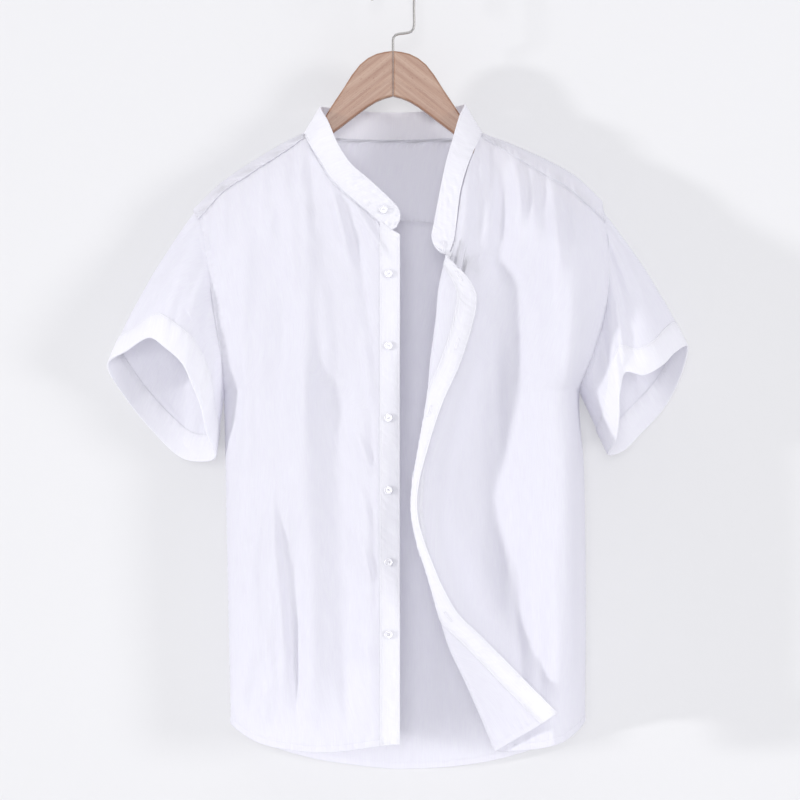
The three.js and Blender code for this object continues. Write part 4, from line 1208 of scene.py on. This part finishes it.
def stitch_row(name, side, distance, first=0.0, last=1.0):
    """Short bowed tubes of thread laid end to end with gaps along a line on a piece."""
    line, normal = line_on(name, side, distance)
    run = distance_along(line)
    starts = np.arange(run[-1] * first, run[-1] * last - STITCH_LENGTH, STITCH_LENGTH)
    share = np.linspace(0, 1, STITCH_SECTIONS)
    at = starts[:, None] + share * (STITCH_LENGTH - STITCH_GAP)
    middle, out = places_along(at, run, line), places_along(at, run, normal)
    out /= np.linalg.norm(out, axis=-1, keepdims=True)
    middle = middle + out * (STITCH_BOW * np.sin(np.pi * share) - STITCH_SINK)[None, :, None]
    tangent = np.gradient(middle, axis=1)
    side_way = np.cross(tangent, out)
    side_way /= np.linalg.norm(side_way, axis=-1, keepdims=True)
    angle = np.linspace(0, 2 * np.pi, STITCH_SIDES, endpoint=False)
    ring = side_way[:, :, None] * np.cos(angle)[:, None] + out[:, :, None] * np.sin(angle)[:, None]
    return (middle[:, :, None] + ring * STITCH_RADIUS).reshape(-1, 3), len(starts)


def stitch_object(name, rows):
    """Rows of stitches as one mesh."""
    points = np.vstack([row[0] for row in rows])
    count = sum(row[1] for row in rows)
    faces = grid_faces(STITCH_SECTIONS, STITCH_SIDES, True)
    faces = (faces[None] + (np.arange(count) * STITCH_SECTIONS * STITCH_SIDES)[:, None, None]).reshape(-1, 4)
    obj = mesh_object(name, points, faces)
    obj.data.materials.append(look("thread"))
    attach(obj, "root")
    return obj


class SHIRT_OT_stitching(bpy.types.Operator):
    """Runs the rows of stitches along the seams, the bands and the hems"""
    bl_idname = "shirt.stitching"
    bl_label = "Stitching"

    def execute(self, context):
        edge, wide = EDGE_STITCH, HEM_WIDTH - 1.2 * MM
        stitch_object("placket_stitches", [
            stitch_row(name, side, edge) for name in ("button_placket_cloth", "buttonhole_placket_cloth")
            for side in ("start", "end")])
        stitch_object("collar_stitches", [stitch_row("collar_cloth", side, edge, 0.004, 0.996)
                                          for side in ("top", "bottom")])
        stitch_object("yoke_stitches", [
            stitch_row("yoke_cloth", "top", edge, 0.0, YOKE_OUTER_SHARE),
            stitch_row("yoke_cloth", "top", edge, 1 - YOKE_OUTER_SHARE, 1.0),
            stitch_row("yoke_cloth", "bottom", edge)])
        stitch_object("hem_stitches", [stitch_row(name, "bottom", wide)
                                       for name in ("right_front_cloth", "left_front_cloth", "back_cloth")])
        stitch_object("cuff_stitches", [stitch_row(f"cuff_{name}_cloth", "top", edge)
                                        for name in ("right", "left")])
        return {"FINISHED"}


BUTTONHOLE_FIRST = 50 * MM  # distance of the first buttonhole from the placket's top
BUTTONHOLE_HALF_LENGTH = 6.5 * MM
BUTTONHOLE_HALF_WIDTH = 1.1 * MM
BUTTONHOLE_STITCHES = 56
COLLAR_BUTTONHOLE_ALONG = 0.985


def buttonhole_points(middle, axes):
    """A ring of thread round a slit: a stadium path, its thickness waved once for each stitch."""
    count = BUTTONHOLE_STITCHES * 3
    turn = np.linspace(0, 2 * np.pi, count, endpoint=False)
    straight = BUTTONHOLE_HALF_LENGTH * np.clip(1.25 * np.sin(turn), -1, 1)
    path = np.stack([BUTTONHOLE_HALF_WIDTH * np.cos(turn) / np.sqrt(np.abs(np.cos(turn)) + 0.15), straight,
                     np.full(count, 0.25 * MM)], -1)
    tangent = np.roll(path, -1, 0) - np.roll(path, 1, 0)
    side = np.cross(tangent, [0, 0, 1.0])
    side /= np.linalg.norm(side, axis=1, keepdims=True)
    thick = (0.62 + 0.1 * np.cos(turn * BUTTONHOLE_STITCHES)) * MM
    angle = np.linspace(0, 2 * np.pi, 8, endpoint=False)
    ring = side[:, None] * np.cos(angle)[None, :, None] + np.array([0, 0, 0.7]) * np.sin(angle)[None, :, None]
    return (middle + (path[:, None] + ring * thick[:, None, None]) @ axes)


class SHIRT_OT_buttonholes(bpy.types.Operator):
    """Works the six buttonholes of the placket and the one of the collar"""
    bl_idname = "shirt.buttonholes"
    bl_label = "Buttonholes"

    def execute(self, context):
        places = []
        line, normal = line_on("buttonhole_placket_cloth", "start", PLACKET_WIDTH / 2)
        run = distance_along(line)
        for i in range(BUTTON_COUNT):
            at = BUTTONHOLE_FIRST + i * BUTTON_SPACING
            above, below = places_along(at - 3 * MM, run, line), places_along(at + 3 * MM, run, line)
            places.append((places_along(at, run, line), above - below, places_along(at, run, normal)))
        points, normal, across, _ = SURFACES["collar_cloth"]
        row = len(points) // 2
        column = int(np.searchsorted(across[row], COLLAR_BUTTONHOLE_ALONG * across[row, -1]))
        along_band = points[row, column + 2] - points[row, column - 2]
        places.append((points[row, column], along_band, normal[row, column]))
        for number, (middle, up, out) in enumerate(places, 1):
            out = out / np.linalg.norm(out)
            up = up - out * np.dot(up, out)
            up /= np.linalg.norm(up)
            hole = buttonhole_points(middle, np.stack([np.cross(up, out), up, out]))
            faces = grid_faces(*hole.shape[:2], ring=True, closed=True)
            obj = mesh_object(f"buttonhole_{number}_thread", hole.reshape(-1, 3), faces)
            obj.data.materials.append(look("thread"))
            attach(obj, "root")
        return {"FINISHED"}


class SHIRT_OT_hanger(bpy.types.Operator):
    """Finishes the wooden hanger and its wire hook"""
    bl_idname = "shirt.hanger"
    bl_label = "Hanger"

    def execute(self, context):
        for name, kind in (("hanger_arm_right", "wood"), ("hanger_arm_left", "wood"), ("hook_wire", "wire")):
            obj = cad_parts[name]
            obj.data.materials.clear()
            obj.data.materials.append(look(kind))
        return {"FINISHED"}


class ShirtLooks(bpy.types.PropertyGroup):
    """The cloth's colour and see-through share, and the lights' strengths, that a user would change"""
    cloth_colour: FloatVectorProperty(
        name="Cloth", description="Colour of the cloth", subtype="COLOR", size=3, min=0, max=1,
        default=linear("f8f8fc")[:3])
    see_through: FloatProperty(
        name="See-through", description="Share of the light that passes through the cloth", subtype="FACTOR",
        default=0.44, min=0, max=0.6)
    key_strength: FloatProperty(
        name="Key Light", description="Strength of the light from the side", default=1.38, min=0)
    front_strength: FloatProperty(
        name="Front Light", description="Strength of the wide light in front", default=1.0, min=0)
    side_strength: FloatProperty(
        name="Other Side Light", description="Strength of the light from the other side", default=0.9, min=0)
    overhead_strength: FloatProperty(
        name="Overhead Light", description="Strength of the wide light from above", default=0.3, min=0)
    fill_strength: FloatProperty(
        name="Fill Light", description="Strength of the even light", default=0.46, min=0)


OPERATORS = (SHIRT_OT_right_front, SHIRT_OT_left_front, SHIRT_OT_back, SHIRT_OT_yoke, SHIRT_OT_collar,
             SHIRT_OT_sleeves, SHIRT_OT_stitching, SHIRT_OT_buttonholes, SHIRT_OT_buttons, SHIRT_OT_hanger)


# ---------- stage ----------

WALL_Y = 0.067
SWEEP_GLOW = 0.285  # the share of the wall's and the floor's light that comes through them from behind
FLOOR_Z = -1.35
KEY_SIDE_DEGREES = 65
KEY_HEIGHT_DEGREES = 3
KEY_SOFTNESS_DEGREES = 5
FRONT_SIDE_DEGREES = 3
OVERHEAD_HEIGHT_DEGREES = 62
OVERHEAD_SOFTNESS_DEGREES = 60
OTHER_SIDE_DEGREES = -52
FRONT_HEIGHT_DEGREES = 4
FRONT_SOFTNESS_DEGREES = 16
SENSOR = 36.0
CAMERA_DISTANCE = 3.0
FRAME_WIDTH = 0.92
CAMERA_X = 0.008
CAMERA_Z = -0.491
SWEEP_HALF_WIDTH = 6
SWEEP_FRONT_Y = -8
WALL_TOP_Z = 4


class SHIRT_OT_stage(bpy.types.Operator):
    """Sets out the wall, the floor, the lights and the camera"""
    bl_idname = "shirt.stage"
    bl_label = "Stage"

    def execute(self, context):
        scene = context.scene
        props = scene.shirt_looks
        left, right = -SWEEP_HALF_WIDTH, SWEEP_HALF_WIDTH
        low_left, low_right = (left, WALL_Y, FLOOR_Z), (right, WALL_Y, FLOOR_Z)
        add_stage_sheet("wall", [low_left, low_right,
                                 (right, WALL_Y, WALL_TOP_Z), (left, WALL_Y, WALL_TOP_Z)])
        add_stage_sheet("floor", [(left, SWEEP_FRONT_Y, FLOOR_Z), (right, SWEEP_FRONT_Y, FLOOR_Z),
                                  low_right, low_left])
        world = bpy.data.worlds.new("even white light")
        world.use_nodes = True
        background = world.node_tree.nodes["Background"]
        background.inputs["Color"].default_value = linear("f9f9ff")
        background.inputs["Strength"].default_value = props.fill_strength
        scene.world = world
        add_sun("key", props.key_strength, KEY_SIDE_DEGREES, KEY_HEIGHT_DEGREES, KEY_SOFTNESS_DEGREES)
        add_sun("front", props.front_strength, FRONT_SIDE_DEGREES, FRONT_HEIGHT_DEGREES,
                FRONT_SOFTNESS_DEGREES)
        add_sun("overhead", props.overhead_strength, FRONT_SIDE_DEGREES, OVERHEAD_HEIGHT_DEGREES,
                OVERHEAD_SOFTNESS_DEGREES)
        add_sun("other side", props.side_strength, OTHER_SIDE_DEGREES, FRONT_HEIGHT_DEGREES,
                FRONT_SOFTNESS_DEGREES)
        lens = bpy.data.cameras.new("camera")
        lens.sensor_width = SENSOR
        lens.lens = SENSOR * CAMERA_DISTANCE / FRAME_WIDTH
        camera = bpy.data.objects.new("camera", lens)
        camera.location = (CAMERA_X, -CAMERA_DISTANCE, CAMERA_Z)
        camera.rotation_euler = (math.pi / 2, 0, 0)
        scene.collection.objects.link(camera)
        scene.camera = camera
        scene.view_settings.view_transform = "Standard"
        return {"FINISHED"}


def add_sun(name, strength, side_degrees, height_degrees, softness_degrees):
    """A far light from the viewer's left by side_degrees and above by height_degrees."""
    sun = bpy.data.lights.new(name, "SUN")
    sun.energy = strength
    sun.angle = math.radians(softness_degrees)
    side, height = math.radians(side_degrees), math.radians(height_degrees)
    obj = bpy.data.objects.new(name, sun)
    obj.rotation_euler = (math.pi / 2 - height, 0, -side)
    bpy.context.scene.collection.objects.link(obj)


def add_stage_sheet(name, corners):
    """A plain painted sheet that is clear when looked at or lit from behind, so it hides nothing."""
    obj = mesh_object(name, np.array(corners), np.array([[0, 1, 2, 3]]), smooth=False)
    material, tree = new_material("Matt White Emulsion " + name)
    place = node(tree, "ShaderNodeTexCoord")
    plaster = node(tree, "ShaderNodeTexNoise", {"Vector": place.outputs["Object"]}, Scale=45.0, Detail=4.0)
    rough = bump(tree, plaster.outputs["Fac"], 0.12, 2 * MM)
    paint = node(tree, "ShaderNodeBsdfDiffuse", {"Normal": rough.outputs[0]})
    paint.inputs["Color"].default_value = linear("bcbcbd")
    glow = node(tree, "ShaderNodeEmission", Strength=SWEEP_GLOW)
    glow.inputs["Color"].default_value = linear("fbfbff")
    lit = node(tree, "ShaderNodeAddShader", {0: paint.outputs[0], 1: glow.outputs[0]})
    clear = node(tree, "ShaderNodeBsdfTransparent")
    side = node(tree, "ShaderNodeNewGeometry")
    shaders = {0: side.outputs["Backfacing"], 1: lit.outputs[0], 2: clear.outputs[0]}
    mixed = node(tree, "ShaderNodeMixShader", shaders)
    node(tree, "ShaderNodeOutputMaterial", {"Surface": mixed.outputs[0]})
    obj.data.materials.append(material)
    return obj


class SHIRT_PT_panel(bpy.types.Panel):
    """Lists the shirt's pieces"""
    bl_label = "Mandarin Collar Shirt"
    bl_space_type = "VIEW_3D"
    bl_region_type = "UI"
    bl_category = "Shirt"

    def draw(self, context):
        for name in ShirtLooks.__annotations__:
            self.layout.prop(context.scene.shirt_looks, name)
        for operator in OPERATORS + (SHIRT_OT_stage,):
            self.layout.operator(operator.bl_idname)


CLASSES = (ShirtLooks,) + OPERATORS + (SHIRT_OT_stage, SHIRT_PT_panel)


def register():
    for kind in CLASSES:
        bpy.utils.register_class(kind)
    bpy.types.Scene.shirt_looks = PointerProperty(type=ShirtLooks)


def unregister():
    del bpy.types.Scene.shirt_looks
    for kind in reversed(CLASSES):
        bpy.utils.unregister_class(kind)


def main():
    register()
    for operator in OPERATORS + (SHIRT_OT_stage,):
        group, name = operator.bl_idname.split(".")
        getattr(getattr(bpy.ops, group), name)()


if __name__ == "__main__":
    main()
